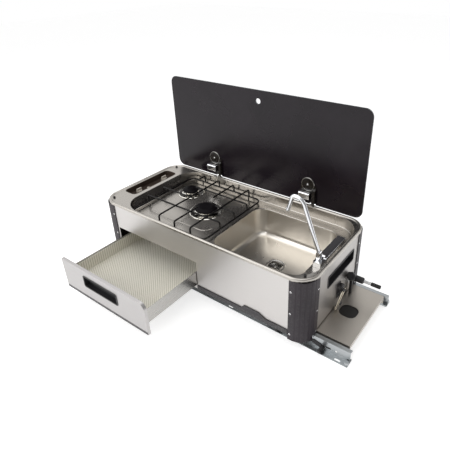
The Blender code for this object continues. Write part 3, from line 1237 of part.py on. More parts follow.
def build_swivel(seat, chrome):
    """Collar that turns on the block and carries the fork of the folding joint."""
    low = seat + CLEAR
    top = low + SWIVEL_HEIGHT
    centre = (SWIVEL_X, SWIVEL_Y)
    profile = [(SWIVEL_RADIUS, low), (SWIVEL_RADIUS, top - THIN_SHEET), (SWIVEL_RADIUS - CLEAR, top)]
    swivel = piece("tap_swivel", turned(profile, centre), chrome, (SWIVEL_X, SWIVEL_Y, low))
    cheek = link_outline((SWIVEL_X, top - THIN_SHEET), FORK_RADIUS - CLEAR, (SWIVEL_X, FOLD_HEIGHT), FORK_RADIUS)
    near = FOLD_HALF_WIDTH + CLEAR
    far = near + FORK_CHEEK
    fuse(swivel, prism(cheek, SWIVEL_Y - far, SWIVEL_Y - near, "Y"), prism(cheek, SWIVEL_Y + near, SWIVEL_Y + far, "Y"),
         rod(FORK_PIN_RADIUS, (SWIVEL_X, SWIVEL_Y - far + CLEAR, FOLD_HEIGHT),
             (SWIVEL_X, SWIVEL_Y + far - CLEAR, FOLD_HEIGHT), 14))


def build_spout(chrome):
    """Bent spout on a barrel that folds about the fork's pin."""
    axis = Vector((SWIVEL_X, SWIVEL_Y, FOLD_HEIGHT))
    barrel = rod(FOLD_RADIUS, axis - Vector((0, FOLD_HALF_WIDTH, 0)), axis + Vector((0, FOLD_HALF_WIDTH, 0)), 24)
    spout = piece("tap_spout", barrel, chrome, axis)
    lean = Vector((SPOUT_LEAN, 0, SPOUT_RISE))
    crest = SPOUT_RISE + SPOUT_CREST
    end = Vector((SPOUT_LEAN - SPOUT_REACH, 0, SPOUT_RISE - SPOUT_DROP))
    corners = [lean.normalized() * (FORK_RADIUS + CLEAR), lean, Vector((SPOUT_LEAN - SPOUT_REACH * 0.3, 0, crest)),
               Vector((SPOUT_LEAN - SPOUT_REACH * 0.7, 0, crest)), end]
    path = bent([axis + corner for corner in corners], SPOUT_BEND / 2)
    fuse(spout, tube(path, SPOUT_RADIUS, 10))
    drop = (path[-1] - path[-2]).normalized()
    ring = turned([(SPOUT_RADIUS + THIN_SHEET, 0.0), (SPOUT_RADIUS + THIN_SHEET, SPOUT_CREST)], sides=16)
    fuse(spout, aimed(ring, drop, axis + end - drop * SPOUT_CREST / 2))
    cut(spout, rod(FORK_PIN_RADIUS + CLEAR, axis - Vector((0, TAP_BLOCK, 0)), axis + Vector((0, TAP_BLOCK, 0)), 14))


# Lid and hinges


def build_lid(glass, black, chrome):
    """Glass lid with its finger hole, and the two hinges that it turns on."""
    pivot = (0.0, HINGE_Y, HINGE_HEIGHT)
    low = HINGE_HEIGHT + LID_BOTTOM_RISE
    top = low + LID_HEIGHT
    outline = rounded((-LID_WIDTH / 2, low), (LID_WIDTH / 2, top), LID_RADIUS)
    lid = piece("lid_glass", prism(outline, LID_FACE_Y, LID_FACE_Y + LID_GLASS, "Y"), glass, pivot)
    hole = (0.0, LID_FACE_Y - OVERRUN, top - LID_HOLE_DROP)
    cut(lid, rod(LID_HOLE_RADIUS, hole, (0.0, LID_FACE_Y + LID_GLASS + OVERRUN, top - LID_HOLE_DROP), 24))
    for word, place in zip(("left", "right"), HINGE_PLACES):
        build_hinge_arm(word, place, pivot, black)
        build_hinge_block(word, place, pivot, chrome)
        build_hinge_base(word, place, chrome)


def knuckle_outline(rise, low=None):
    """Side view of a hinge arm or ear: round about the pin, straight up or straight down."""
    way = 1 if low is None else -1
    end = HINGE_HEIGHT + rise if low is None else low
    arc = [(HINGE_Y - way * HINGE_KNUCKLE_RADIUS * math.cos(math.radians(turn)),
            HINGE_HEIGHT - way * HINGE_KNUCKLE_RADIUS * math.sin(math.radians(turn))) for turn in range(0, 181, 20)]
    return arc + [(HINGE_Y + way * HINGE_KNUCKLE_RADIUS, end), (HINGE_Y - way * HINGE_KNUCKLE_RADIUS, end)]


def build_hinge_arm(word, place, pivot, black):
    """Round plate on the glass, backing plate and offset arm down to the pin."""
    face = LID_FACE_Y - CLEAR
    height = HINGE_HEIGHT + HINGE_DISC_RISE
    disc = rod(HINGE_DISC_RADIUS, (place, face - HINGE_DISC_THICKNESS, height), (place, face, height), 24)
    made = piece("hinge_arm_" + word, disc, black, pivot)
    left = place + HINGE_BLOCK_SHIFT - HINGE_BLOCK_HALF_WIDTH
    start = place + HINGE_ARM_START
    end = start + HINGE_ARM_WIDTH
    plate = box((left, face - HINGE_PLATE, HINGE_HEIGHT + HINGE_BLOCK_RISE), (end - CLEAR, face - CLEAR / 2,
                                                                            height - CLEAR))
    fuse(made, plate, prism(knuckle_outline(HINGE_ARM_RISE), start, end, "X"))
    cut(made, rod(HINGE_PIN_RADIUS + CLEAR, (start - OVERRUN, HINGE_Y, HINGE_HEIGHT),
                  (end + OVERRUN, HINGE_Y, HINGE_HEIGHT), 12))


def build_hinge_block(word, place, pivot, chrome):
    """Bright spring housing on the arm."""
    back = LID_FACE_Y - CLEAR - HINGE_PLATE - CLEAR
    low = HINGE_HEIGHT + HINGE_BLOCK_RISE
    outline = rounded((back - HINGE_BLOCK_DEPTH, low), (back, low + HINGE_BLOCK_HEIGHT), HINGE_BLOCK_RADIUS, 4)
    middle = place + HINGE_BLOCK_SHIFT
    block = prism(outline, middle - HINGE_BLOCK_HALF_WIDTH, middle + HINGE_BLOCK_HALF_WIDTH, "X")
    piece("hinge_block_" + word, block, chrome, pivot)


def build_hinge_base(word, place, chrome):
    """Two ears and a pin on the rim."""
    outline = knuckle_outline(0.0, RIM_TOP + CLEAR)
    near = place + HINGE_ARM_START - CLEAR
    far = place + HINGE_ARM_START + HINGE_ARM_WIDTH + CLEAR
    base = piece("hinge_base_" + word, prism(outline, near - HINGE_EAR_WIDTH, near, "X"), chrome)
    fuse(base, rod(HINGE_PIN_RADIUS, (near - HINGE_EAR_WIDTH / 2, HINGE_Y, HINGE_HEIGHT),
                   (far + HINGE_EAR_WIDTH / 2, HINGE_Y, HINGE_HEIGHT), 12),
         prism(outline, far, far + HINGE_EAR_WIDTH, "X"))


def bumper_studs():
    """Studs on the land that the closed lid comes down on."""
    low = LAND_HEIGHT - THIN_SHEET
    top = HINGE_HEIGHT + LID_FACE_Y - HINGE_Y - BUMPER_LID_GAP
    crown = BUMPER_RADIUS / 3
    studs = [turned([(BUMPER_RADIUS, low), (BUMPER_RADIUS, top - crown), (BUMPER_RADIUS - crown, top)], (x, y), 10)
             for x in (-BUMPER_X, BUMPER_X) for y in (-BUMPER_Y, BUMPER_Y)]
    return joined(*studs)


# Right end: gas shut-off and latch


def build_shutoff(black, chrome):
    """Valve body on the end panel with its arm down to the tray, its knob and the ribbed hose tail."""
    start = BOX_HALF_LENGTH + CLEAR
    end = start + VALVE_BODY_LENGTH
    collar = VALVE_BODY_RADIUS + PULL_WALL
    profile = [(collar, 0.0), (collar, PULL_FLANGE), (VALVE_BODY_RADIUS, PULL_FLANGE * 1.3),
               (VALVE_BODY_RADIUS, VALVE_BODY_LENGTH - PULL_FLANGE),
               (VALVE_BODY_RADIUS - PULL_FLANGE, VALVE_BODY_LENGTH)]
    body = piece("shutoff_body", aimed(turned(profile), (1, 0, 0), (start, VALVE_Y, VALVE_Z)), black)
    way = Vector((0, -math.sin(VALVE_TILT), math.cos(VALVE_TILT)))
    root = Vector((VALVE_BOSS_X, VALVE_Y, VALVE_Z))
    arm = start + VALVE_ARM_START
    fuse(body, rod(VALVE_BOSS_RADIUS, root, root + way * VALVE_BOSS_LENGTH),
         box((arm, VALVE_Y - VALVE_ARM_DEPTH / 2, TRAY_TOP + CLEAR), (arm + VALVE_ARM_WIDTH, VALVE_Y + VALVE_ARM_DEPTH / 2,
                                                                     VALVE_Z)))
    seat = root + way * (VALVE_BOSS_LENGTH + CLEAR)
    knob = piece("shutoff_knob", lobed_knob(), black)
    knob.location = seat
    knob.rotation_euler = (VALVE_TILT, 0.0, 0.0)
    build_hose_tail((end + CLEAR, VALVE_Y, VALVE_Z), chrome)


def lobed_knob():
    """Hand knob about +Z with a scalloped rim."""
    sides = SHUTOFF_LOBES * 5
    levels = ((0.75, 0.0), (1.0, 0.15), (1.0, 0.8), (0.85, 1.0))
    loops = []
    for share, rise in levels:
        loop = []
        for side in range(sides):
            turn = 2 * math.pi * side / sides
            radius = (SHUTOFF_RADIUS - SHUTOFF_LOBE_DEPTH * (0.5 + 0.5 * math.cos(SHUTOFF_LOBES * turn))) * share
            loop.append((radius * math.cos(turn), radius * math.sin(turn), rise * SHUTOFF_HEIGHT))
        loops.append(loop)
    return loft(loops)


def build_hose_tail(start, chrome):
    """Ribbed tail that a gas hose would push on to, closed by a cap."""
    pitch = TAIL_LENGTH / TAIL_RIBS
    profile = []
    for rib in range(TAIL_RIBS):
        profile += [(TAIL_RADIUS + TAIL_RIB, rib * pitch), (TAIL_RADIUS, (rib + 0.7) * pitch)]
    chamfer = TAIL_CAP_RADIUS / 4
    far = TAIL_LENGTH + TAIL_CAP_LENGTH
    profile += [(TAIL_CAP_RADIUS, TAIL_LENGTH), (TAIL_CAP_RADIUS, far - chamfer), (TAIL_CAP_RADIUS - chamfer, far)]
    piece("hose_tail", aimed(turned(profile, sides=12), (1, 0, 0), start), chrome)


LATCH_PIVOT_X = BOX_HALF_LENGTH + LATCH_PIVOT_OUT


def build_latch(black, chrome):
    """Plate with ears, hanging lever, wire bail and the catch that it hooks on the tray."""
    start = BOX_HALF_LENGTH + CLEAR
    near = LATCH_WIDTH / 2 + CLEAR
    far = near + LATCH_EAR
    pivot = (LATCH_PIVOT_X, LATCH_PIVOT_Z)
    plate = box((start, LATCH_Y - far, LATCH_PLATE_BOTTOM), (start + LATCH_PLATE, LATCH_Y + far, LATCH_PLATE_TOP))
    base = piece("latch_base", plate, black)
    ear = link_outline((start + LATCH_EAR_RADIUS + CLEAR, LATCH_PIVOT_Z), LATCH_EAR_RADIUS, pivot, LATCH_EAR_RADIUS)
    for low, high in ((-far + CLEAR, -near), (near, far - CLEAR)):
        fuse(base, prism(ear, LATCH_Y + low, LATCH_Y + high, "Y"))
    fuse(base, rod(LATCH_PIN_RADIUS, (pivot[0], LATCH_Y - far + LATCH_EAR / 2, pivot[1]),
                   (pivot[0], LATCH_Y + far - LATCH_EAR / 2, pivot[1]), 12))
    build_latch_lever(pivot, black)
    build_bail(chrome)


def catch_form():
    """Hook welded on the tray, open away from the pod."""
    wall = BOX_HALF_LENGTH + CLEAR + LATCH_PLATE
    low = TRAY_TOP - TRAY_SHEET / 2
    top = low + CATCH_HEIGHT
    outline = [(wall, low), (wall + CATCH_LENGTH, low), (wall + CATCH_LENGTH, low + CATCH_WALL),
               (wall + CATCH_WALL, low + CATCH_WALL), (wall + CATCH_WALL, top - CATCH_WALL),
               (wall + CATCH_LENGTH, top - CATCH_WALL), (wall + CATCH_LENGTH, top), (wall, top)]
    return prism(outline, BAIL_FOOT_Y - CATCH_WIDTH / 2, BAIL_FOOT_Y + CATCH_WIDTH / 2, "Y")


def build_latch_lever(pivot, black):
    """Hanging strap on the pin, kicked out at its tip, with a lug for the bail."""
    x, z = pivot
    half = LATCH_WIDTH / 2
    low, high = LATCH_Y - half, LATCH_Y + half
    strap = LATCH_STRAP / 2
    knee = z - LATCH_DROP * 0.8
    tip = z - LATCH_DROP
    back, front = x - LATCH_STRAP_SETBACK - strap, x - LATCH_STRAP_SETBACK + strap
    outline = [(back, z), (back, knee), (back + LATCH_KICK, tip), (front + LATCH_KICK, tip), (front, knee), (front, z)]
    head = [(x + LATCH_HEAD_RADIUS * math.cos(math.radians(turn)), z + LATCH_HEAD_RADIUS * math.sin(math.radians(turn)))
            for turn in range(0, 360, 15)]
    lever = piece("latch_lever", prism(head, low, high, "Y"), black, (x, LATCH_Y, z))
    bail = (x + BAIL_OUT, z - BAIL_DROP)
    lug = link_outline((x, bail[1]), LATCH_LUG_RADIUS, bail, LATCH_LUG_RADIUS)
    fuse(lever, prism(outline, low + CLEAR, high - CLEAR, "Y"), prism(lug, low + CLEAR * 2, high - CLEAR * 2, "Y"))
    cut(lever, rod(LATCH_PIN_RADIUS + CLEAR, (x, low - OVERRUN, z), (x, high + OVERRUN, z), 12),
        rod(BAIL_RADIUS + CLEAR, (bail[0], low - OVERRUN, bail[1]), (bail[0], high + OVERRUN, bail[1]), 12))


def build_bail(chrome):
    """Closed wire loop from the lever's lug down to the catch."""
    x, z = LATCH_PIVOT_X + BAIL_OUT, LATCH_PIVOT_Z - BAIL_DROP
    head, foot = BAIL_HEAD_HALF_WIDTH, BAIL_FOOT_HALF_WIDTH
    corners = [(x, LATCH_Y, z), (x, LATCH_Y + head, z), (BAIL_FOOT_X, BAIL_FOOT_Y + foot, BAIL_FOOT_Z),
               (BAIL_FOOT_X, BAIL_FOOT_Y - foot, BAIL_FOOT_Z), (x, LATCH_Y - head, z), (x, LATCH_Y, z)]
    path = bent(corners, BAIL_RADIUS * 1.4, 3)[:-1]
    piece("latch_bail", tube(path, BAIL_RADIUS, 8, closed=True), chrome, (x, LATCH_Y, z))


def main():
    """Build the whole pod."""
    wipe_scene()
    steel = surface("brushed steel", (0.66, 0.64, 0.62), 0.34, 1.0)
    tray_steel = surface("tray steel", (0.46, 0.42, 0.38), 0.4, 1.0)
    zinc = surface("zinc plate", (0.6, 0.66, 0.7), 0.35, 1.0)
    chrome = surface("chrome", (0.82, 0.83, 0.84), 0.08, 1.0)
    brass = surface("brass", (0.62, 0.45, 0.2), 0.3, 1.0)
    dark = surface("dark coated metal", (0.06, 0.05, 0.06), 0.45, 0.0)
    black = surface("black plastic", (0.02, 0.02, 0.02), 0.4, 0.0)
    cream = surface("cream liner", (0.6, 0.55, 0.4), 0.9, 0.0)
    glass = surface("smoked glass", (0.02, 0.015, 0.02), 0.05, 0.0, 0.92)
    for word, side in (("front", -1), ("rear", 1)):
        build_slide(word, side, zinc)
    build_cross_frame(zinc)
    for name, place in LEVER_PIVOT_PLACES.items():
        build_lock_lever(name, place, black)
    build_tray(tray_steel)
    build_floor_panel(steel)
    build_long_panels(steel)
    build_end_panels(steel, black)
    build_posts(dark)
    build_trim(dark)
    low, high = build_drawer_box(steel)
    face = build_drawer_front(steel, dark)
    build_mat(low, high, face, cream)
    build_runner_middles(zinc)
    build_worktop(steel)
    build_sink(steel, chrome, black)
    build_pocket(steel, black)
    build_burners(chrome, black, brass)
    build_grid(black)
    seat, pivot_y = build_tap_base(chrome)
    build_tap_lever(pivot_y, chrome)
    build_swivel(seat, chrome)
    build_spout(chrome)
    build_lid(glass, dark, chrome)
    build_shutoff(black, chrome)
    build_latch(black, chrome)


main()
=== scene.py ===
"""Slide-out kitchen pod for a camper van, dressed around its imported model.

Metres, +Z up, +X along the pod towards the latch end, +Y to the back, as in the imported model.
The script reads nothing but the frame. Each class below is one sub-assembly of the pod and holds its sizes.
A field whose name ends in profile holds pairs of millimetres: across, then up or along the axis.
"""

from __future__ import annotations

import json
import logging
import math
from collections.abc import Callable, Iterable, Sequence
from dataclasses import dataclass, field
from enum import Enum

import bmesh
import bpy
from mathutils import Matrix, Vector


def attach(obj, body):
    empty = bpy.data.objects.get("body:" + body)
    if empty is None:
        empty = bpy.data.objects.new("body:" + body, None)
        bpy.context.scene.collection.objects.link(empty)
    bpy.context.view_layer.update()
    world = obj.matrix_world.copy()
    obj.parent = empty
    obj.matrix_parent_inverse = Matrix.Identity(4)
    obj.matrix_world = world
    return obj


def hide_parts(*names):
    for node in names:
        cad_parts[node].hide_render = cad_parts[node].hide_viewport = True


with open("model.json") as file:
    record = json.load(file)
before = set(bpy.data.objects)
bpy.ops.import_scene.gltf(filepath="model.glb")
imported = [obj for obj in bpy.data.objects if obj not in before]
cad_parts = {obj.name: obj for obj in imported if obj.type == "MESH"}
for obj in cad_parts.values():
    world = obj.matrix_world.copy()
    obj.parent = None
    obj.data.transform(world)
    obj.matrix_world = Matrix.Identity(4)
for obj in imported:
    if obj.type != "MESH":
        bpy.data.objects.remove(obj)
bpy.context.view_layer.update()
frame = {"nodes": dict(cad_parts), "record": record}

LOG = logging.getLogger("kitchen_pod")
MM = 0.001
FULL_TURN = 2 * math.pi
MERGE_REACH = 0.01 * MM
FACET_ANGLE = math.radians(0.6)
SMOOTH_ANGLE = 34.0
EASE = 0.35 * MM
Point = Sequence[float]
Profile = Sequence[tuple[float, float]]
Ring = list[Vector]
Colour = tuple[float, float, float]
BODY_OF = {node: body for body, nodes in frame["record"]["behaviour"]["bodies"].items() for node in nodes}


class Axis(Enum):
    """World axes, as unit vectors."""

    X = (1.0, 0.0, 0.0)
    Y = (0.0, 1.0, 0.0)
    Z = (0.0, 0.0, 1.0)


class Side(Enum):
    """Front or rear of the pod, with its sign along Y."""

    FRONT = -1
    REAR = 1


class Domain(Enum):
    """Kind of mesh element that a test picks from."""

    EDGE = "EDGE"
    FACE = "FACE"


# Bench: the few operations that every piece is made with


def deselect() -> None:
    """Leave edit mode and select nothing."""
    if bpy.context.mode != "OBJECT":
        bpy.ops.object.mode_set(mode="OBJECT")
    bpy.ops.object.select_all(action="DESELECT")


def activate(piece: bpy.types.Object) -> None:
    """Make one piece the only selected and the active one.

    Args:
        piece: Piece to work on.
    """
    deselect()
    piece.select_set(True)
    bpy.context.view_layer.objects.active = piece


def edit(piece: bpy.types.Object) -> None:
    """Open a piece in edit mode with all of it selected.

    Args:
        piece: Piece to open.
    """
    activate(piece)
    bpy.ops.object.mode_set(mode="EDIT")
    bpy.ops.mesh.select_all(action="SELECT")


def choose(piece: bpy.types.Object, domain: Domain, test: Callable[[bmesh.types.BMElem], bool]) -> None:
    """Open a piece in edit mode and select elements by a test.

    Args:
        piece: Piece to open.
        domain: Kind of element.
        test: Says of one element whether it is wanted.
    """
    edit(piece)
    bpy.ops.mesh.select_mode(type=domain.value)
    bpy.ops.mesh.select_all(action="DESELECT")
    shape = bmesh.from_edit_mesh(piece.data)
    shape.normal_update()
    for element in shape.edges if domain is Domain.EDGE else shape.faces:
        if test(element):
            element.select_set(True)
    shape.select_flush_mode()
    bmesh.update_edit_mesh(piece.data)


def place_ring(piece: bpy.types.Object, ring: Ring) -> None:
    """Move the selected loop of a loft on to its ring of points.

    Args:
        piece: Loft that is open in edit mode, its points numbered round the loop.
        ring: Places in that order.
    """
    shape = bmesh.from_edit_mesh(piece.data)
    order = shape.verts.layers.int["order"]
    for vert in shape.verts:
        if vert.select:
            vert.co = ring[vert[order]]
    bmesh.update_edit_mesh(piece.data)


def lofted(rings: Sequence[Ring], closed: bool = False) -> bpy.types.Object:
    """Circle that is extruded from ring to ring of points.

    Args:
        rings: Rings with the same number of points each, in order.
        closed: Whether the last ring joins the first, as in a ring of bar; both ends are filled otherwise.

    Returns:
        The closed solid.
    """
    deselect()
    count = len(rings[0])
    bpy.ops.mesh.primitive_circle_add(vertices=count, radius=1.0)
    made = bpy.context.object
    made.data.attributes.new("order", "INT", "POINT").data.foreach_set("value", list(range(count)))
    edit(made)
    place_ring(made, rings[0])
    for ring in [*rings[1:], rings[0]] if closed else rings[1:]:
        bpy.ops.mesh.extrude_edges_move()
        place_ring(made, ring)
    bpy.ops.mesh.select_all(action="SELECT")
    bpy.ops.mesh.remove_doubles(threshold=MERGE_REACH)
    if not closed:
        bpy.ops.mesh.fill_holes(sides=0)
        bpy.ops.mesh.select_all(action="SELECT")
    bpy.ops.mesh.normals_make_consistent(inside=False)
    deselect()
    made.data.attributes.remove(made.data.attributes["order"])
    return made


def mm(pairs: Profile, start: float = 0.0) -> list[tuple[float, float]]:
    """Profile in metres from pairs in millimetres, its first numbers counted from a start."""
    return [(start + first * MM, second * MM) for first, second in pairs]


def rounded(low: Point, high: Point, radius: float, steps: int = 8,
            high_radius: float | None = None) -> list[tuple[float, float]]:
    """Rectangle with round corners.

    Args:
        low: Low corner, as two numbers.
        high: High corner, as two numbers.
        radius: Radius of the corners.
        steps: Facets of each corner.
        high_radius: Radius at the high side of the first number, where it differs.

    Returns:
        Points round the outline, anticlockwise.
    """
    large = radius if high_radius is None else high_radius
    centres = ((high[0] - large, high[1] - large, large), (low[0] + radius, high[1] - radius, radius),
               (low[0] + radius, low[1] + radius, radius), (high[0] - large, low[1] + large, large))
    points = []
    for quarter, (across, up, reach) in enumerate(centres):
        for step in range(steps + 1):
            angle = math.pi / 2 * (quarter + step / steps)
            points.append((across + reach * math.cos(angle), up + reach * math.sin(angle)))
    return points


def grown(low: Point, high: Point, out: float, radius: float, steps: int) -> list[tuple[float, float]]:
    """Rounded rectangle with its sides moved outwards and its corners' radius grown as much."""
    return rounded((low[0] - out, low[1] - out), (high[0] + out, high[1] + out), radius + out, steps)


def fillet(radius: float, steps: int) -> list[tuple[float, float]]:
    """Quarter round from a wall down to a floor, as pairs of how far in and how far above the floor."""
    turns = [math.pi / 2 * step / steps for step in range(steps + 1)]
    return [(radius * (1 - math.cos(turn)), radius * (1 - math.sin(turn))) for turn in turns]


def lay(outline: Iterable[Point], axis: Axis, place: float) -> Ring:
    """Set a flat outline across an axis.

    Args:
        outline: Points as (y, z), (x, z) or (x, y).
        axis: Axis that the outline stands across.
        place: Where on that axis.

    Returns:
        The points in space.
    """
    if axis is Axis.X:
        return [Vector((place, across, up)) for across, up in outline]
    if axis is Axis.Y:
        return [Vector((across, place, up)) for across, up in outline]
    return [Vector((across, up, place)) for across, up in outline]


def bar(outline: Sequence[Point], axis: Axis, start: float, end: float) -> bpy.types.Object:
    """Outline drawn out straight along an axis."""
    return lofted([lay(outline, axis, start), lay(outline, axis, end)])


def turned(profile: Sequence[Point], centre: Point, way: Point = Axis.Z.value, sides: int = 40) -> bpy.types.Object:
    """Solid turned about a line.

    Args:
        profile: Pairs of a radius and a distance along the line.
        centre: Point that the distances start from.
        way: Direction of the line.
        sides: Facets round the line.

    Returns:
        The closed solid.
    """
    turn = Vector(Axis.Z.value).rotation_difference(Vector(way)).to_matrix()
    angles = [FULL_TURN * side / sides for side in range(sides)]
    return lofted([[Vector(centre) + turn @ Vector((radius * math.cos(angle), radius * math.sin(angle), rise))
                    for angle in angles] for radius, rise in profile])


def smooth_path(corners: Sequence[Point], bend: float, steps: int = 8) -> Ring:
    """Path through corner points with each inner corner rounded.

    Args:
        corners: Points from end to end.
        bend: Distance from a corner at which its curve starts.
        steps: Pieces of each curve.

    Returns:
        Points along the path.
    """
    path = [Vector(corners[0])]
    for before, corner, after in zip(corners, corners[1:], corners[2:]):
        middle = Vector(corner)
        start = middle + (Vector(before) - middle).normalized() * bend
        end = middle + (Vector(after) - middle).normalized() * bend
        for step in range(steps + 1):
            share = step / steps
            path.append((1 - share) ** 2 * start + 2 * share * (1 - share) * middle + share ** 2 * end)
    path.append(Vector(corners[-1]))
    return path


def swept(path: Sequence[Vector], radius: float, sides: int = 14, closed: bool = False) -> bpy.types.Object:
    """Round bar along a path, its section carried along without a twist.

    Args:
        path: Points along the bar's middle.
        radius: Radius of the bar.
        sides: Facets round it.
        closed: Whether the bar's ends meet.

    Returns:
        The closed solid.
    """
    angles = [FULL_TURN * step / sides for step in range(sides)]
    rings, side = [], None
    for index, here in enumerate(path):
        before = path[index - 1] if closed or index else here
        after = path[(index + 1) % len(path)] if closed or index < len(path) - 1 else here
        along = (after - before).normalized()
        side = along.orthogonal() if side is None else side - along * side.dot(along)
        side.normalize()
        other = along.cross(side)
        rings.append([here + radius * (math.cos(angle) * side + math.sin(angle) * other) for angle in angles])
    return lofted(rings, closed)


def modify(piece: bpy.types.Object, kind: str, **settings: object) -> bpy.types.Object:
    """Add a modifier and apply it.

    Args:
        piece: Piece that it works on.
        kind: Blender's type of the modifier.
        settings: Properties of the modifier.

    Returns:
        The same piece.
    """
    activate(piece)
    added = piece.modifiers.new(kind.title(), kind)
    for setting, value in settings.items():
        setattr(added, setting, value)
    bpy.ops.object.modifier_apply(modifier=added.name)
    return piece


def eased(piece: bpy.types.Object, width: float, segments: int = 2, angle: float = 32.0) -> bpy.types.Object:
    """Round the edges of a piece that are sharper than an angle in degrees."""
    return modify(piece, "BEVEL", width=width, segments=segments, limit_method="ANGLE",
                  angle_limit=math.radians(angle), use_clamp_overlap=True, harden_normals=False)


def pierced(piece: bpy.types.Object, cutter: bpy.types.Object) -> bpy.types.Object:
    """Cut one form out of a piece and delete the cutter.

    Args:
        piece: Piece that is cut.
        cutter: Form that is taken away.

    Returns:
        The same piece.
    """
    modify(piece, "BOOLEAN", operation="DIFFERENCE", solver="EXACT", object=cutter)
    bpy.data.objects.remove(cutter)
    return piece


def joined(pieces: Sequence[bpy.types.Object]) -> bpy.types.Object:
    """Join several forms into the first one.

    Args:
        pieces: Forms to join.

    Returns:
        The first of them, which now holds all.
    """
    deselect()
    for piece in pieces:
        piece.select_set(True)
    bpy.context.view_layer.objects.active = pieces[0]
    bpy.ops.object.join()
    return pieces[0]


def repeated(pattern: bpy.types.Object, moves: Iterable[Matrix]) -> bpy.types.Object:
    """Copy a pattern to several places, each copy with a mesh of its own, and delete the pattern.

    Args:
        pattern: Form that is modelled once.
        moves: Move of each copy, made in its mesh.

    Returns:
        The copies, joined.
    """
    copies = []
    for move in moves:
        twin = pattern.copy()
        twin.data = pattern.data.copy()
        twin.data.transform(move)
        bpy.context.scene.collection.objects.link(twin)
        copies.append(twin)
    bpy.data.objects.remove(pattern)
    return joined(copies)


def taken(node: str) -> bpy.types.Object:
    """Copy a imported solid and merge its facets, as a base for a dressed piece.

    Args:
        node: Name of the solid.

    Returns:
        The copy, without a finish.
    """
    made = bpy.data.objects.new("dressed_" + node, frame["nodes"][node].data.copy())
    bpy.context.scene.collection.objects.link(made)
    made.data.materials.clear()
    edit(made)
    bpy.ops.mesh.remove_doubles(threshold=MERGE_REACH)
    bpy.ops.mesh.dissolve_limited(angle_limit=FACET_ANGLE)
    deselect()
    return made


def softened(node: str, width: float) -> bpy.types.Object:
    """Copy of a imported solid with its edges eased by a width."""
    return eased(taken(node), width, 2, SMOOTH_ANGLE)


def fit(piece: bpy.types.Object, name: str, look: bpy.types.Material, body: str,
        smooth: float = SMOOTH_ANGLE) -> bpy.types.Object:
    """Name a piece, give it its finish and set it on its body.

    Args:
        piece: Finished mesh.
        name: Name of the piece.
        look: Its material.
        body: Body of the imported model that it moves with.
        smooth: Angle in degrees under which edges are shaded smooth.

    Returns:
        The same piece.
    """
    activate(piece)
    bpy.ops.object.transform_apply(location=True, rotation=True, scale=True)
    bpy.ops.object.shade_smooth_by_angle(angle=math.radians(smooth))
    modify(piece, "WEIGHTED_NORMAL", keep_sharp=True, weight=80)
    piece.name = piece.data.name = name
    piece.data.materials.clear()
    piece.data.materials.append(look)
    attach(piece, body)
    deselect()
    return piece


def stand_in(piece: bpy.types.Object, node: str, look: bpy.types.Material,
             smooth: float = SMOOTH_ANGLE) -> bpy.types.Object:
    """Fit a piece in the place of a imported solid.

    Args:
        piece: Finished mesh.
        node: Solid that it stands for.
        look: Its material.
        smooth: Angle in degrees under which edges are shaded smooth.

    Returns:
        The same piece.
    """
    fit(piece, node + "_dressed", look, BODY_OF[node], smooth)
    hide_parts(node)
    return piece


def dress_soft(nodes: Iterable[str], look: bpy.types.Material, width: float = EASE) -> None:
    """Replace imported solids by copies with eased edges."""
    for node in nodes:
        stand_in(softened(node, width), node, look)


def part_coated(piece: bpy.types.Object, look: bpy.types.Material, test: Callable[[bmesh.types.BMFace], bool]) -> None:
    """Give a second finish to some faces of a piece.

    Args:
        piece: Piece with one finish.
        look: The second finish.
        test: Says of one face whether it gets that finish.
    """
    piece.data.materials.append(look)
    choose(piece, Domain.FACE, test)
    piece.active_material_index = 1
    bpy.ops.object.material_slot_assign()
    deselect()


# Finishes: shared effects as node groups, then one material for each finish of the pod


@dataclass
class Graph:
    """Thin hand on a node tree, for a material or a group."""

    tree: bpy.types.NodeTree

    def feed(self, socket: bpy.types.NodeSocket, value: object) -> None:
        """Link a socket to another one, or set its value.

        Args:
            socket: Input socket.
            value: Output socket, number, vector or colour.
        """
        if isinstance(value, bpy.types.NodeSocket):
            self.tree.links.new(value, socket)
        else:
            socket.default_value = value

    def add(self, kind: str, values: dict[str | int, object] | None = None, **settings: object) -> bpy.types.Node:
        """Add a node.

        Args:
            kind: Type name without its ShaderNode prefix.
            values: Input sockets by name or number, each with a value or with the socket that feeds it.
            settings: Properties of the node.

        Returns:
            The new node.
        """
        node = self.tree.nodes.new("ShaderNode" + kind)
        for setting, value in settings.items():
            setattr(node, setting, value)
        for socket, value in (values or {}).items():
            self.feed(node.inputs[socket], value)
        return node

    def math(self, operation: str, first: object, second: object = 0.0) -> bpy.types.NodeSocket:
        """Put two numbers through a Math node."""
        return self.add("Math", {0: first, 1: second}, operation=operation).outputs[0]

    def spread(self, value: bpy.types.NodeSocket, low: float, high: float, to_low: float = 0.0,
               to_high: float = 1.0) -> bpy.types.NodeSocket:
        """Map a span of a number to another span, clamped."""
        ends = {"Value": value, "From Min": low, "From Max": high, "To Min": to_low, "To Max": to_high}
        return self.add("MapRange", ends).outputs["Result"]

    def tint(self, share: object, first: object, second: object) -> bpy.types.NodeSocket:
        """Mix two colours; 6 and 7 are the numbers of the Mix node's colour inputs, 2 that of its output."""
        return self.add("Mix", {0: share, 6: first, 7: second}, data_type="RGBA").outputs[2]

    def noise(self, place: bpy.types.NodeSocket, scale: object, detail: float, **more: float) -> bpy.types.NodeSocket:
        """Put a place through a Noise Texture."""
        return self.add("TexNoise", {"Vector": place, "Scale": scale, "Detail": detail, **more}).outputs["Fac"]


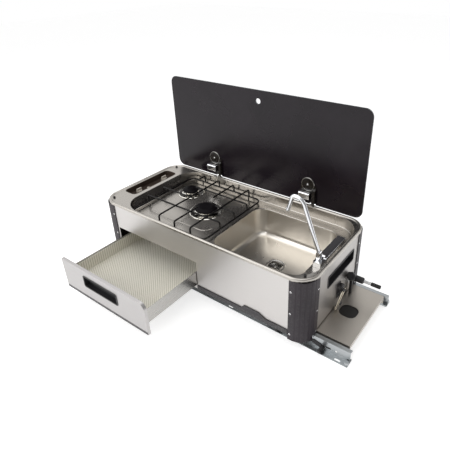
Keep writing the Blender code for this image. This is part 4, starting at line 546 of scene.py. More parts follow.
def effect(name: str, inputs: dict[str, tuple[str, object]],
           outputs: Sequence[str]) -> tuple[Graph, bpy.types.NodeInputs, bpy.types.NodeInputs]:
    """Start a shader node group.

    Args:
        name: Name of the group.
        inputs: Socket names with their type and default value, beside the place, which every group takes.
        outputs: Names of the numbers that it puts out.

    Returns:
        The group's graph, the sockets that its inputs come from and the sockets that its outputs go to.
    """
    tree = bpy.data.node_groups.new(name, "ShaderNodeTree")
    for socket, (kind, value) in {"Vector": ("Vector", (0, 0, 0)), **inputs}.items():
        tree.interface.new_socket(socket, in_out="INPUT", socket_type="NodeSocket" + kind).default_value = value
    for socket in outputs:
        tree.interface.new_socket(socket, in_out="OUTPUT", socket_type="NodeSocketFloat")
    return Graph(tree), tree.nodes.new("NodeGroupInput").outputs, tree.nodes.new("NodeGroupOutput").inputs


def brushing_effect() -> bpy.types.NodeTree:
    """Fine parallel scratches, with the long way given by the smallest number of Stretch.

    Returns:
        The group.
    """
    graph, given, made = effect("Brushing", {"Stretch": ("Vector", (30, 900, 900)), "Depth": ("Float", 0.5)},
                                ("Shade", "Gloss", "Height"))
    place = graph.add("VectorMath", {0: given["Vector"], 1: given["Stretch"]}, operation="MULTIPLY").outputs[0]
    fine = graph.noise(place, 1.0, 5.0, Roughness=0.7)
    broad = graph.noise(place, 0.22, 2.0)
    line = graph.math("ADD", graph.math("MULTIPLY", fine, 0.7), graph.math("MULTIPLY", broad, 0.3))
    graph.feed(made["Shade"], graph.math("MULTIPLY", graph.spread(line, 0.3, 0.7, -0.5, 0.5), given["Depth"]))
    graph.feed(made["Gloss"], graph.spread(broad, 0.3, 0.7, -0.04, 0.07))
    graph.feed(made["Height"], line)
    return graph.tree


def handling_effect() -> bpy.types.NodeTree:
    """Faint wiped patches and specks that hands and cloths leave.

    Returns:
        The group.
    """
    graph, given, made = effect("Handling", {"Size": ("Float", 9.0)}, ("Wipe", "Speck"))
    cloud = graph.noise(given["Vector"], given["Size"], 3.0, Distortion=0.6)
    finer = graph.math("MULTIPLY", given["Size"], 42.0)
    dots = graph.add("TexVoronoi", {"Vector": given["Vector"], "Scale": finer})
    graph.feed(made["Wipe"], graph.spread(cloud, 0.35, 0.7))
    graph.feed(made["Speck"], graph.spread(dots.outputs["Distance"], 0.08, 0.02))
    return graph.tree


def pebble_effect() -> bpy.types.NodeTree:
    """Even fine pebbling of powder coat, enamel or moulded plastic.

    Returns:
        The group.
    """
    graph, given, made = effect("Pebble", {"Scale": ("Float", 900.0)}, ("Height", "Shade"))
    graph.feed(made["Height"], graph.noise(given["Vector"], given["Scale"], 2.0))
    graph.feed(made["Shade"], graph.spread(graph.noise(given["Vector"], 14.0, 3.0), 0.3, 0.7, -1.0, 1.0))
    return graph.tree


def wear_effect() -> bpy.types.NodeTree:
    """Bright worn line on outer edges, broken up by noise.

    Returns:
        The group.
    """
    graph, given, made = effect("Edge wear", {"Amount": ("Float", 0.5)}, ("Worn",))
    line = graph.spread(graph.add("NewGeometry").outputs["Pointiness"], 0.53, 0.6)
    patch = graph.spread(graph.noise(given["Vector"], 160.0, 4.0), 0.45, 0.62)
    graph.feed(made["Worn"], graph.math("MULTIPLY", graph.math("MULTIPLY", line, patch), given["Amount"]))
    return graph.tree


class Effects:
    """The shared node groups, made once."""

    def __init__(self) -> None:
        """Build every group."""
        self.brushing = brushing_effect()
        self.handling = handling_effect()
        self.pebble = pebble_effect()
        self.wear = wear_effect()


def shaded(colour: Colour, share: float = 1.0) -> tuple[float, float, float, float]:
    """Colour with full alpha, darker or lighter by a share."""
    return (*(min(1.0, part * share) for part in colour), 1.0)


class Look(Graph):
    """Material in the making: its graph, its shader and the place on the piece."""

    def __init__(self, name: str, colour: Colour, **sockets: float) -> None:
        """Start a material.

        Args:
            name: Name of the material.
            colour: Plain colour, shown where nothing else feeds it.
            sockets: Constant sockets of the Principled shader, with underscores for spaces.
        """
        self.material = bpy.data.materials.new(name)
        self.material.use_nodes = True
        self.material.diffuse_color = shaded(colour)
        super().__init__(self.material.node_tree)
        self.shader = self.tree.nodes["Principled BSDF"].inputs
        self.shader["Base Color"].default_value = shaded(colour)
        for socket, value in sockets.items():
            self.shader[socket.replace("_", " ")].default_value = value
        self.place = self.add("TexCoord").outputs["Object"]

    def use(self, group: bpy.types.NodeTree, **values: object) -> bpy.types.NodeOutputs:
        """Place a shared effect.

        Args:
            group: Node group of the effect.
            values: Its inputs by name.

        Returns:
            The effect's outputs.
        """
        node = self.add("Group", node_tree=group)
        for socket, value in {"Vector": self.place, **values}.items():
            self.feed(node.inputs[socket], value)
        return node.outputs

    def raise_by(self, height: bpy.types.NodeSocket, strength: float, distance: float) -> None:
        """Bump the surface by a height."""
        bump = self.add("Bump", {"Strength": strength, "Distance": distance, "Height": height})
        self.feed(self.shader["Normal"], bump.outputs["Normal"])


@dataclass(frozen=True)
class Metal:
    """Bare metal with brushing and traces of handling."""

    name: str
    colour: Colour
    roughness: float
    stretch: Colour
    depth: float
    bump: float

    def material(self, effects: Effects) -> bpy.types.Material:
        """Build the material.

        Args:
            effects: Shared groups.

        Returns:
            The material.
        """
        look = Look(self.name, self.colour, Metallic=1.0, Roughness=self.roughness)
        grain = look.use(effects.brushing, Stretch=self.stretch, Depth=self.depth)
        tone = look.math("ADD", grain["Shade"], 0.5)
        look.feed(look.shader["Base Color"], look.tint(tone, shaded(self.colour, 0.86), shaded(self.colour, 1.1)))
        wiped = look.math("MULTIPLY", look.use(effects.handling)["Wipe"], 0.03)
        uneven = look.math("MULTIPLY", grain["Gloss"], min(1.0, self.depth * 8))
        look.feed(look.shader["Roughness"], look.math("ADD", look.math("ADD", uneven, wiped), self.roughness))
        look.raise_by(grain["Height"], self.bump, 0.3 * MM)
        return look.material


@dataclass(frozen=True)
class Coat:
    """Powder coat, enamel, rubber or moulded plastic: pebbled, with worn edges where asked."""

    name: str
    colour: Colour
    roughness: float
    pebble: float
    bump: float
    wear: float = 0.0
    gloss: float = 0.4
    worn: Colour = (0.3, 0.29, 0.28)

    def material(self, effects: Effects) -> bpy.types.Material:
        """Build the material.

        Args:
            effects: Shared groups.

        Returns:
            The material.
        """
        look = Look(self.name, self.colour, Roughness=self.roughness, Specular_IOR_Level=self.gloss)
        grain = look.use(effects.pebble, Scale=self.pebble)
        tone = look.spread(grain["Shade"], -1.0, 1.0)
        base = look.tint(tone, shaded(self.colour, 0.82), shaded(self.colour, 1.22))
        edge = look.use(effects.wear, Amount=self.wear)
        look.feed(look.shader["Base Color"], look.tint(edge["Worn"], base, shaded(self.worn)))
        wiped = look.math("MULTIPLY", look.use(effects.handling, Size=14.0)["Wipe"], 0.1)
        look.feed(look.shader["Roughness"], look.math("ADD", wiped, self.roughness - 0.04))
        look.raise_by(grain["Height"], self.bump, 0.2 * MM)
        return look.material


@dataclass(frozen=True)
class Glass:
    """Smoked safety glass, nearly black, or its paler ground edge."""

    name: str
    colour: Colour
    roughness: float
    transmission: float
    gloss: float = 0.5

    def material(self, effects: Effects) -> bpy.types.Material:
        """Build the material.

        Args:
            effects: Shared groups.

        Returns:
            The material.
        """
        look = Look(self.name, self.colour, Roughness=self.roughness, IOR=1.52,
                    Transmission_Weight=self.transmission, Specular_IOR_Level=self.gloss)
        hands = look.use(effects.handling, Size=6.0)
        film = look.math("MULTIPLY", hands["Wipe"], 0.03)
        dusty = look.math("ADD", film, look.math("MULTIPLY", hands["Speck"], 0.1))
        look.feed(look.shader["Roughness"], look.math("ADD", dusty, self.roughness))
        paler = shaded(tuple(part * 1.6 + 0.004 for part in self.colour))
        look.feed(look.shader["Base Color"], look.tint(hands["Wipe"], shaded(self.colour), paler))
        return look.material


@dataclass(frozen=True)
class Liner:
    """Cream anti-slip liner: rows of small lozenges over a woven net."""

    name: str
    colour: Colour
    gap_colour: Colour
    pitch: float = 9.2 * MM

    def material(self, effects: Effects) -> bpy.types.Material:
        """Build the material.

        Args:
            effects: Shared groups.

        Returns:
            The material.
        """
        look = Look(self.name, self.colour, Roughness=0.82)
        split = look.add("SeparateXYZ", {"Vector": look.place}).outputs
        across, along = (look.math("DIVIDE", split[axis], self.pitch) for axis in ("X", "Y"))
        first, second = (look.math("ABSOLUTE", look.math("SINE", look.math("MULTIPLY", slant, math.pi)))
                         for slant in (look.math("ADD", across, along), look.math("SUBTRACT", across, along)))
        cross = look.spread(second, 0.0, 0.35, 0.55, 1.0)
        raised = look.math("MULTIPLY", look.spread(first, 0.18, 0.55), cross)
        base = look.tint(raised, shaded(self.gap_colour), shaded(self.colour))
        soil = look.math("MULTIPLY", look.use(effects.handling, Size=11.0)["Wipe"], 0.35)
        look.feed(look.shader["Base Color"], look.tint(soil, base, shaded(self.colour, 0.86)))
        fibre = look.math("MULTIPLY", look.noise(look.place, 1400.0, 3.0), 0.25)
        look.raise_by(look.math("ADD", raised, fibre), 0.8, 0.8 * MM)
        return look.material


class Looks:
    """Every finish of the pod."""

    def __init__(self) -> None:
        """Build the shared groups and the materials."""
        made = Effects()
        along_x, along_y, upright = (26.0, 900.0, 900.0), (900.0, 26.0, 900.0), (900.0, 900.0, 26.0)
        cloudy, fine_cloudy = (40.0, 40.0, 40.0), (60.0, 60.0, 60.0)
        self.panel = Metal("brushed panel steel", (0.60, 0.58, 0.565), 0.38, along_x, 0.06, 0.02).material(made)
        self.end_panel = Metal("brushed end steel", (0.47, 0.45, 0.435), 0.38, along_y, 0.06, 0.02).material(made)
        self.face = Metal("drawer face steel", (0.51, 0.495, 0.49), 0.38, along_x, 0.06, 0.02).material(made)
        self.drawer = Metal("drawer steel", (0.44, 0.43, 0.41), 0.24, along_y, 0.05, 0.01).material(made)
        self.warm = Metal("bright warm wire", (0.80, 0.72, 0.58), 0.12, upright, 0.02, 0.0).material(made)
        self.pressed = Metal("pressed worktop steel", (0.47, 0.445, 0.41), 0.25, cloudy, 0.05, 0.0).material(made)
        self.bowl = Metal("satin bowl steel", (0.74, 0.705, 0.65), 0.28, fine_cloudy, 0.03, 0.0).material(made)
        self.tray = Metal("tray steel", (0.50, 0.465, 0.42), 0.36, along_x, 0.08, 0.02).material(made)
        self.zinc = Metal("zinc plated slide", (0.45, 0.47, 0.48), 0.28, along_x, 0.14, 0.04).material(made)
        self.chrome = Metal("polished chrome", (0.80, 0.81, 0.83), 0.05, upright, 0.02, 0.0).material(made)
        self.bright = Metal("bright screw steel", (0.74, 0.74, 0.74), 0.2, upright, 0.04, 0.0).material(made)
        self.brass = Metal("gas pipe brass", (0.55, 0.43, 0.22), 0.3, along_y, 0.08, 0.02).material(made)
        self.alloy = Metal("burner alloy", (0.86, 0.84, 0.78), 0.10, upright, 0.03, 0.0).material(made)
        self.post = Coat("ribbed post coat", (0.036, 0.029, 0.035), 0.46, 700.0, 0.2, 0.2, 0.3).material(made)
        self.dark = Coat("dark coated steel", (0.035, 0.032, 0.036), 0.4, 800.0, 0.15, 0.45).material(made)
        self.enamel = Coat("burner enamel", (0.004, 0.003, 0.004), 0.4, 240.0, 0.1, 0.06, 0.07).material(made)
        self.wire = Coat("pan support enamel", (0.008, 0.007, 0.007), 0.36, 500.0, 0.08, 0.1, 0.2).material(made)
        self.plastic = Coat("moulded black plastic", (0.022, 0.021, 0.023), 0.38, 1200.0, 0.2, 0.15).material(made)
        self.disc = Coat("hinge disc plastic", (0.016, 0.013, 0.011), 0.2, 300.0, 0.04, 0.1).material(made)
        self.rubber = Coat("black rubber", (0.028, 0.027, 0.027), 0.72, 600.0, 0.4).material(made)
        # Pale colour: on the knobs it is painted sheen in place of their satin metal's reflection; the igniter button
        # and electrodes share it.
        self.knob = Coat("pale plastic with painted knob sheen", (0.50, 0.455, 0.39), 0.26, 900.0, 0.1, 0.1, 0.6).material(made)
        # Control pocket: dark brown, partly its own finish and partly painted shade of the recess.
        self.pocket = Coat("pocket pan with painted shade", (0.055, 0.038, 0.028), 0.4, 500.0, 0.1).material(made)
        # Near black of painted shade, laid where holes, slots and recesses would be dark.
        self.void = Coat("drain shadow", (0.012, 0.011, 0.01), 0.5, 400.0, 0.1).material(made)
        self.glass = Glass("smoked lid glass", (0.007, 0.004, 0.007), 0.22, 0.0, 0.27).material(made)
        self.glass_edge = Glass("ground glass edge", (0.34, 0.36, 0.37), 0.3, 0.25).material(made)
        self.liner = Liner("lozenge liner", (0.96, 0.93, 0.83), (0.50, 0.47, 0.35)).material(made)


# Worktop, sink and control pocket


def circle_ring(around: Ring, centre: Point, radius: float, height: float) -> Ring:
    """Circle whose points lie on the rays from its centre to the points of another ring.

    Args:
        around: The other ring.
        centre: Middle of the circle, as two numbers.
        radius: Its radius.
        height: Its height.

    Returns:
        Points of the circle.
    """
    angles = [math.atan2(point.y - centre[1], point.x - centre[0]) for point in around]
    return [Vector((centre[0] + radius * math.cos(angle), centre[1] + radius * math.sin(angle), height))
            for angle in angles]


@dataclass
class Worktop:
    """Pressed sheet with its rolled rim, land and deck, and the bowl, drain and pocket in it.

    A row of recess_lip is a share of the recess wall, then millimetres out and down. A number of rib_places is in
    millimetres along the deck.
    """

    looks: Looks
    half_length: float = 450 * MM
    half_depth: float = 201 * MM
    facets: int = 12
    land: float = 266 * MM
    deck: float = 227 * MM
    sheet: float = 0.9 * MM
    rim_radius: float = 66 * MM
    rim_low: float = 259 * MM
    rim_profile: Profile = ((0, 0), (0, 5.2), (0.4, 7.6), (1.5, 9.3), (3.3, 10.2), (5.6, 10.4), (7.9, 9.9),
                            (9.8, 8.8), (11.1, 7.7), (12.0, 7.1))
    rim_fold: float = 11.1 * MM
    recess_left: float = -353 * MM
    recess_right: float = 437.2 * MM
    recess_half_depth: float = 188.2 * MM
    recess_draft: float = 3.2 * MM
    recess_left_draft: float = 16 * MM
    recess_radii: Point = (80 * MM, 88 * MM)
    recess_foot_radii: Point = (32 * MM, 84 * MM)
    recess_fillet: float = 3 * MM
    recess_lip: Sequence[Point] = ((0.0, 0.5, 0.05), (0.0, -0.4, 0.7), (0.05, -0.5, 2.4))
    plateau_low: Point = (-302 * MM, -112 * MM)
    plateau_high: Point = (-6 * MM, 124 * MM)
    plateau_radius: float = 34 * MM
    plateau_profile: Profile = ((0.0, -0.2), (0.8, 0.35), (2.6, 0.9))
    rib_half: Point = (0.9 * MM, 9 * MM)
    rib_corner: float = 0.85 * MM
    rib_crest: Point = (0.35, 0.94)
    rib_rise: Point = (-0.2 * MM, 0.2 * MM, 0.8 * MM)
    rib_places: Sequence[int] = range(58, 372, 8)
    rib_line: float = 163 * MM
    rib_lean: float = math.radians(-28)
    bumper: Point = (417 * MM, 168 * MM)
    bumper_profile: Profile = ((4.2, 0), (4.5, 0.6), (4.5, 4.2), (4.0, 5.4), (2.9, 6.1), (1.2, 6.3))
    sink_low: Point = (40 * MM, -150 * MM)
    sink_high: Point = (382 * MM, 144 * MM)
    sink_radius: float = 45 * MM
    sink_mouth_profile: Profile = ((2.2, 0.0), (0.7, -0.25), (0.0, -1.2), (0.9, -1.3))
    sink_floor: float = 118 * MM
    sink_fillet: float = 22 * MM
    bowl_sheet: float = 1 * MM
    bowl_draft: float = 6 * MM
    bowl_top_profile: Profile = ((7.0, -1.4), (0.2, -1.4), (-0.4, -2.6))
    bowl_under_profile: Profile = ((1.0, -2.4), (7.0, -2.4))
    drain: Point = (215 * MM, -10 * MM)
    drain_profile: Profile = ((42, 0.0), (37, -0.25), (34.6, -0.9), (28.3, -1.0), (28.3, -2.0), (40, -1.6))
    cup_profile: Profile = ((0.6, -12.6), (25.2, -12.6), (27.6, -10.6), (27.7, -0.4), (33.8, -0.2), (33.9, 0.3),
                            (33.0, 0.9), (30.6, 1.0), (28.0, 0.2), (26.6, -1.8), (26.2, -9.6), (24.0, -11.4),
                            (8.0, -11.9), (0.6, -11.9))
    lift_profile: Profile = ((0.6, -11.9), (2.4, -11.8), (1.6, -9.4), (3.6, -7.6), (3.8, -6.6), (2.8, -5.6),
                             (0.6, -5.3))
    hole_profile: Profile = ((2.1, -0.25), (2.1, 0.0))
    hole_drop: float = 11.35 * MM
    hole_circles: Sequence[tuple[int, float]] = ((8, 8 * MM), (14, 14 * MM), (20, 20.5 * MM))
    pocket_low: Point = (-431 * MM, -108 * MM)
    pocket_high: Point = (-371 * MM, 121 * MM)
    pocket_radius: float = 16 * MM
    pocket_floor: float = 241 * MM
    pocket_fillet: float = 5 * MM
    pocket_draft: float = 0.6 * MM
    pocket_lip_profile: Profile = ((-0.5, -1.2), (0.0, 0.1), (0.7, 0.45), (1.6, 0.3), (1.7, 0.05), (0.2, -0.2))
    pocket_back_profile: Profile = ((0.2, 3.5), (-5.4, -1.0))

    def rim_ring(self, inset: float, height: float) -> Ring:
        """Loop of the rim at an inset from its outline."""
        reach = (self.half_length, self.half_depth)
        return lay(grown((-reach[0], -reach[1]), reach, -inset, self.rim_radius, self.facets), Axis.Z, height)

    def recess_ring(self, share: float, out: float, height: float) -> Ring:
        """Loop of the sunk part.

        Args:
            share: 0 at its top edge, 1 at the foot of its wall.
            out: How far the loop is moved outwards.
            height: Height of the loop.

        Returns:
            Points of the loop.
        """
        left = self.recess_left + share * self.recess_left_draft - out
        right = self.recess_right - share * self.recess_draft + out
        half = self.recess_half_depth - share * self.recess_draft + out
        small, large = (top - share * (top - foot) + out
                        for top, foot in zip(self.recess_radii, self.recess_foot_radii))
        return lay(rounded((left, -half), (right, half), small, self.facets, large), Axis.Z, height)

    def sink_ring(self, out: float, height: float) -> Ring:
        """Loop of the sink at a reach out from its mouth, or in from it where that is negative."""
        return lay(grown(self.sink_low, self.sink_high, out, self.sink_radius, self.facets), Axis.Z, height)

    def pocket_ring(self, out: float, height: float) -> Ring:
        """Loop of the control pocket at a reach out from its hole."""
        return lay(grown(self.pocket_low, self.pocket_high, out, self.pocket_radius, 10), Axis.Z, height)

    def sheet_rings(self) -> list[Ring]:
        """Loops of the whole sheet.

        Returns:
            The loops from the rim in over the top and out again below.
        """
        rings = [self.rim_ring(inset, self.rim_low + rise) for inset, rise in mm(self.rim_profile)]
        rings += [self.recess_ring(share, out * MM, self.land - drop * MM) for share, out, drop in self.recess_lip]
        rings += [self.recess_ring(1.0, -inward, self.deck + rise) for inward, rise in fillet(self.recess_fillet, 4)]
        rings += [self.sink_ring(out, self.deck + rise) for out, rise in mm(self.sink_mouth_profile)]
        return [*rings, self.recess_ring(1.0, -2 * MM, self.deck - self.sheet),
                self.recess_ring(1.0, self.sheet, self.deck + self.recess_fillet),
                self.recess_ring(0.0, self.sheet - 0.4 * MM, self.land - self.sheet),
                self.rim_ring(self.rim_fold, self.land - self.sheet), self.rim_ring(self.rim_fold, self.rim_low)]

    def build_sheet(self) -> None:
        """Press the sheet, open it for the pocket and set the hob plateau on its deck."""
        sheet = lofted(self.sheet_rings(), closed=True)
        hole = rounded(self.pocket_low, self.pocket_high, self.pocket_radius)
        pierced(sheet, bar(hole, Axis.Z, self.land - 3 * MM, self.land + 3 * MM))
        stand_in(sheet, "worktop", self.looks.pressed, 40.0)
        (left, front), (right, back) = self.plateau_low, self.plateau_high
        rings = [lay(rounded((left + cut, front + cut), (right - cut, back - cut), self.plateau_radius), Axis.Z,
                     self.deck + rise) for cut, rise in mm(self.plateau_profile)]
        fit(lofted(rings), "hob_plateau", self.looks.pressed, "carriage", 60.0)

    def build_ribs(self) -> None:
        """Press a row of short ribs in the deck behind the sink."""
        across, along = self.rib_half
        foot = rounded((-across, -along), (across, along), self.rib_corner, 3)
        crest = [(x * self.rib_crest[0], y * self.rib_crest[1]) for x, y in foot]
        outlines = zip((foot, foot, crest), self.rib_rise)
        rib = lofted([lay(outline, Axis.Z, self.deck + rise) for outline, rise in outlines])
        lean = Matrix.Rotation(self.rib_lean, 4, "Z")
        row = repeated(rib, [Matrix.Translation((x * MM, self.rib_line, 0.0)) @ lean for x in self.rib_places])
        fit(row, "deck_ribs", self.looks.pressed, "carriage", 50.0)

    def build_bumpers(self) -> None:
        """Set rubber studs at the land's corners, which the closed lid rests over."""
        across, along = self.bumper
        studs = [turned(mm(self.bumper_profile), (x, y, self.land - 0.5 * MM), sides=24)
                 for x in (-across, across) for y in (-along, along)]
        fit(joined(studs), "lid_bumpers", self.looks.rubber, "carriage")

    def build_sink(self) -> None:
        """Draw the bowl down to its drain and back up below."""
        rings = [self.sink_ring(out, self.deck + rise) for out, rise in mm(self.bowl_top_profile)]
        rings += [self.sink_ring(-self.bowl_draft - inward, self.sink_floor + rise)
                  for inward, rise in fillet(self.sink_fillet, 9)]
        floor = rings[-1]
        rings += [circle_ring(floor, self.drain, radius, self.sink_floor + rise)
                  for radius, rise in mm(self.drain_profile)]
        rings += [self.sink_ring(self.bowl_sheet - self.bowl_draft - inward, self.sink_floor - self.bowl_sheet + rise)
                  for inward, rise in reversed(fillet(self.sink_fillet, 5))]
        rings += [self.sink_ring(out, self.deck + rise) for out, rise in mm(self.bowl_under_profile)]
        stand_in(lofted(rings, closed=True), "sink_bowl", self.looks.bowl, 40.0)

    def build_strainer(self) -> None:
        """Set a flanged cup with a small lifting knob in the drain, and painted-shade discs as its floor's holes."""
        across, along = self.drain
        base = (across, along, self.sink_floor)
        cup = turned(mm(self.cup_profile), base, sides=56)
        lift = turned(mm(self.lift_profile), base, sides=24)
        stand_in(joined([cup, lift]), "sink_strainer", self.looks.drawer, 40.0)
        moves = []
        for count, radius in self.hole_circles:
            for index in range(count):
                turn = FULL_TURN * index / count
                moves.append(Matrix.Translation((across + radius * math.cos(turn), along + radius * math.sin(turn),
                                                 self.sink_floor - self.hole_drop)))
        # Dark discs of painted shade stand for the holes in the strainer's floor.
        holes = repeated(turned(mm(self.hole_profile), (0.0, 0.0, 0.0), sides=10), moves)
        fit(holes, "strainer_holes", self.looks.void, "carriage")

    def build_pocket(self) -> None:
        """Press the pan for the controls, its lip folded over the edge of the land."""
        rings = [self.pocket_ring(-self.pocket_draft - inward, self.pocket_floor + rise)
                 for inward, rise in reversed(fillet(self.pocket_fillet, 6))]
        rings += [self.pocket_ring(out, self.land + rise) for out, rise in mm(self.pocket_lip_profile)]
        rings += [self.pocket_ring(out, self.pocket_floor + rise) for out, rise in mm(self.pocket_back_profile)]
        # The pan's dark brown finish is partly painted shade of the recess.
        stand_in(lofted(rings), "control_pocket", self.looks.pocket, 40.0)

    def build(self) -> None:
        """Build the worktop and all that is pressed in it or welded to it."""
        self.build_sheet()
        self.build_ribs()
        self.build_bumpers()
        self.build_sink()
        self.build_strainer()
        self.build_pocket()
        dress_soft(["sink_waste"], self.looks.plastic, 0.6 * MM)
        dress_soft(["hinge_base_left", "hinge_base_right"], self.looks.chrome)


# Hob: burners, pan support, knobs


@dataclass(frozen=True)
class Burner:
    """One burner: its middle, the radius of its cap, the end of its node's name and its flame ports."""

    centre: Point
    radius: float
    node: str
    ports: int


@dataclass
class Hob:
    """Two burners under a pan support, with their knobs and the igniter.

    dish_profile and cap_profile count outwards from a burner's radius.
    """

    looks: Looks
    rear: Burner = field(default_factory=lambda: Burner((-253 * MM, 80 * MM), 32.5 * MM, "rear", 28))
    front: Burner = field(default_factory=lambda: Burner((-102 * MM, 0.0), 43 * MM, "front", 38))
    deck: float = 227.3 * MM
    dish_profile: Profile = ((20, 0.0), (20.6, 1.4), (19.4, 2.6), (17, 2.9), (13, 2.2), (8, 1.2), (2, 0.9),
                             (-3, 1.8), (-5, 3.4), (-8, 5.2), (-7.4, 6.0), (-6.9, 10.6), (-7.6, 10.9))
    dish_start: Point = (20 * MM, -0.2 * MM)
    head_inside: Point = (12 * MM, 10.9 * MM)
    port_half: Point = (0.55 * MM, 1.7 * MM)
    port_corner: float = 0.5 * MM
    port_depths: Point = (-7.4 * MM, -6.8 * MM)
    port_height: float = 8.3 * MM
    cap_profile: Profile = ((-4.5, 11.0), (-1.6, 12.0), (-0.3, 14.2), (-0.2, 15.6), (-1.5, 17.8), (-4.5, 19.6),
                            (-10, 20.8), (-13, 21.4), (-15, 22.4), (-19, 22.9))
    cap_middle: Sequence[Point] = ((0.6 * MM, 11.0 * MM), (0.6 * MM, 22.95 * MM))
    spark_profile: Profile = ((0.7, 0.0), (2.6, 0.2), (2.6, 6.0), (1.7, 6.6), (1.0, 9.2), (0.6, 9.4))
    spark_way: Point = (0.78, -0.62)
    spark_gap: float = 1 * MM
    spark_rise: float = 1 * MM
    bar_radius: float = 3.1 * MM
    ring_radius: float = 3.2 * MM
    ring_height: float = 237.6 * MM
    upper: float = 267.4 * MM
    lower: float = 264.0 * MM
    low: Point = (-328 * MM, -165 * MM)
    high: Point = (30 * MM, 170 * MM)
    ring_corner: float = 25 * MM
    bend: float = 9 * MM
    bridge_lines: Point = (-177 * MM, -28 * MM)
    rear_end: float = 135.1 * MM
    front_end: float = 45.2 * MM
    long_line: float = 2.2 * MM
    long_ends: Point = (-165.3 * MM, -56.8 * MM)
    cross_line: float = 77.8 * MM
    cross_end: float = -220.5 * MM
    foot_inset: float = 60 * MM
    foot_profile: Profile = ((1.2, 0.0), (2.6, 0.3), (2.6, 4.2), (1.9, 5.0))
    knob_line: float = -401 * MM
    knob_base: float = 241.3 * MM
    knob_top: float = 265.3 * MM
    knob_places: Sequence[tuple[str, float]] = (("front", -60 * MM), ("rear", 75 * MM))
    skirt_profile: Profile = ((3, 0), (13.4, 0), (13.5, 0.8), (13.3, 2.6), (12.6, 3.7), (12.2, 4.1), (12.0, 4.2),
                              (3, 4.2))
    knob_profile: Profile = ((3, 4.1), (11.9, 4.1), (12.0, 5.2), (11.8, 13.6), (11.2, 15.4), (9.8, 16.2),
                             (3, 16.4))
    grip_half: Point = (3 * MM, 11.5 * MM)
    grip_corner: float = 1.8 * MM
    grip_foot: float = 12 * MM
    collar_profile: Profile = ((9.6, 0.4), (13.6, 0.4), (13.7, 0.9), (13.5, 1.4), (9.6, 1.5))
    mark_profile: Profile = ((0.2, 0.0), (0.8, 0.0), (0.8, 0.12), (0.2, 0.12))
    mark_inset: float = 8.4 * MM
    igniter_place: float = -12 * MM
    igniter_profile: Profile = ((3, -3.5), (3, 3.0), (6.9, 3.0), (7.0, 3.8), (6.9, 6.8), (6.3, 7.7), (5.2, 8.0),
                                (3.8, 7.6), (0.4, 7.1))

    def build_burner(self, burner: Burner) -> None:
        """Turn a burner's dish and head, add its ports as bars of painted shade, and set its cap and electrode.

        Args:
            burner: Sizes and place of the burner.
        """
        reach, (across, along) = burner.radius, burner.centre
        base = (across, along, self.deck)
        profile = [self.dish_start, *mm(self.dish_profile, reach), self.head_inside]
        stand_in(turned(profile, base, sides=64), f"burner_body_{burner.node}", self.looks.alloy, 40.0)
        # The flame ports are dark bars of painted shade.
        half = self.port_half
        inner, outer = (reach + depth for depth in self.port_depths)
        port = bar(rounded((-half[0], -half[1]), half, self.port_corner, 2), Axis.Y, inner, outer)
        middle = Matrix.Translation((across, along, self.deck + self.port_height))
        moves = [middle @ Matrix.Rotation(FULL_TURN * index / burner.ports, 4, "Z") for index in range(burner.ports)]
        fit(repeated(port, moves), f"burner_ports_{burner.node}", self.looks.void, "carriage")
        crown = [self.cap_middle[0], *mm(self.cap_profile, reach), self.cap_middle[1]]
        stand_in(turned(crown, base, sides=64), f"burner_cap_{burner.node}", self.looks.enamel, 50.0)
        out = reach + self.spark_gap
        place = (across + out * self.spark_way[0], along + out * self.spark_way[1], self.deck + self.spark_rise)
        fit(turned(mm(self.spark_profile), place, sides=16), f"electrode_{burner.node}", self.looks.knob,
            "carriage")

    def wire(self, start: Point, end: Point, height: float, free: bool = False) -> bpy.types.Object:
        """Round bar that climbs from the ring.

        Args:
            start: Where it leaves the ring.
            end: Where it ends.
            height: Height at which it runs.
            free: Whether it stops free at its end; it drops on to the ring again otherwise.

        Returns:
            The bar.
        """
        corners = [Vector((*start, self.ring_height)), Vector((*start, height)), Vector((*end, height))]
        if not free:
            corners.append(Vector((*end, self.ring_height)))
        return swept(smooth_path(corners, self.bend, 6), self.bar_radius)

    def build_support(self) -> None:
        """Bend the ring and the bars of the pan support, and set it on four feet."""
        (left, front), (right, back) = self.low, self.high
        outline = rounded(self.low, self.high, self.ring_corner, 10)
        pieces = [swept(lay(outline, Axis.Z, self.ring_height), self.ring_radius, closed=True)]
        pieces += [self.wire((x, front), (x, back), self.upper) for x in self.bridge_lines]
        pieces += [self.wire((x, start), (x, end), self.upper, free=True) for x, start, end in
                   ((self.rear.centre[0], back, self.rear_end), (self.front.centre[0], back, self.front_end),
                    (self.front.centre[0], front, -self.front_end))]
        pieces += [self.wire((start, y), (end, y), self.lower, free) for start, end, y, free in
                   ((left, self.long_ends[0], self.long_line, True), (right, self.long_ends[1], self.long_line, True),
                    (left, right, -self.cross_line, False), (right, self.cross_end, self.cross_line, True))]
        profile = [*mm(self.foot_profile), (1.9 * MM, self.ring_height - self.deck - 0.2 * MM)]
        pieces += [turned(profile, (x, y, self.deck + 0.1 * MM), sides=16)
                   for x in (left + self.foot_inset, right - self.foot_inset) for y in (front, back)]
        stand_in(joined(pieces), "pan_support", self.looks.wire, 60.0)

    def build_knob(self, name: str, y: float) -> None:
        """Turn a control knob with a raised grip, a bright collar and a dark dot.

        Args:
            name: End of the knob's node name.
            y: Place along the pocket.
        """
        base = (self.knob_line, y, self.knob_base)
        skirt = turned(mm(self.skirt_profile), base, sides=48)
        crown = turned(mm(self.knob_profile), base, sides=48)
        across, along = self.grip_half
        low, high = (self.knob_line - across, y - along), (self.knob_line + across, y + along)
        outline = rounded(low, high, self.grip_corner, 4)
        grip = bar(outline, Axis.Z, self.knob_base + self.grip_foot, self.knob_top - 0.05 * MM)
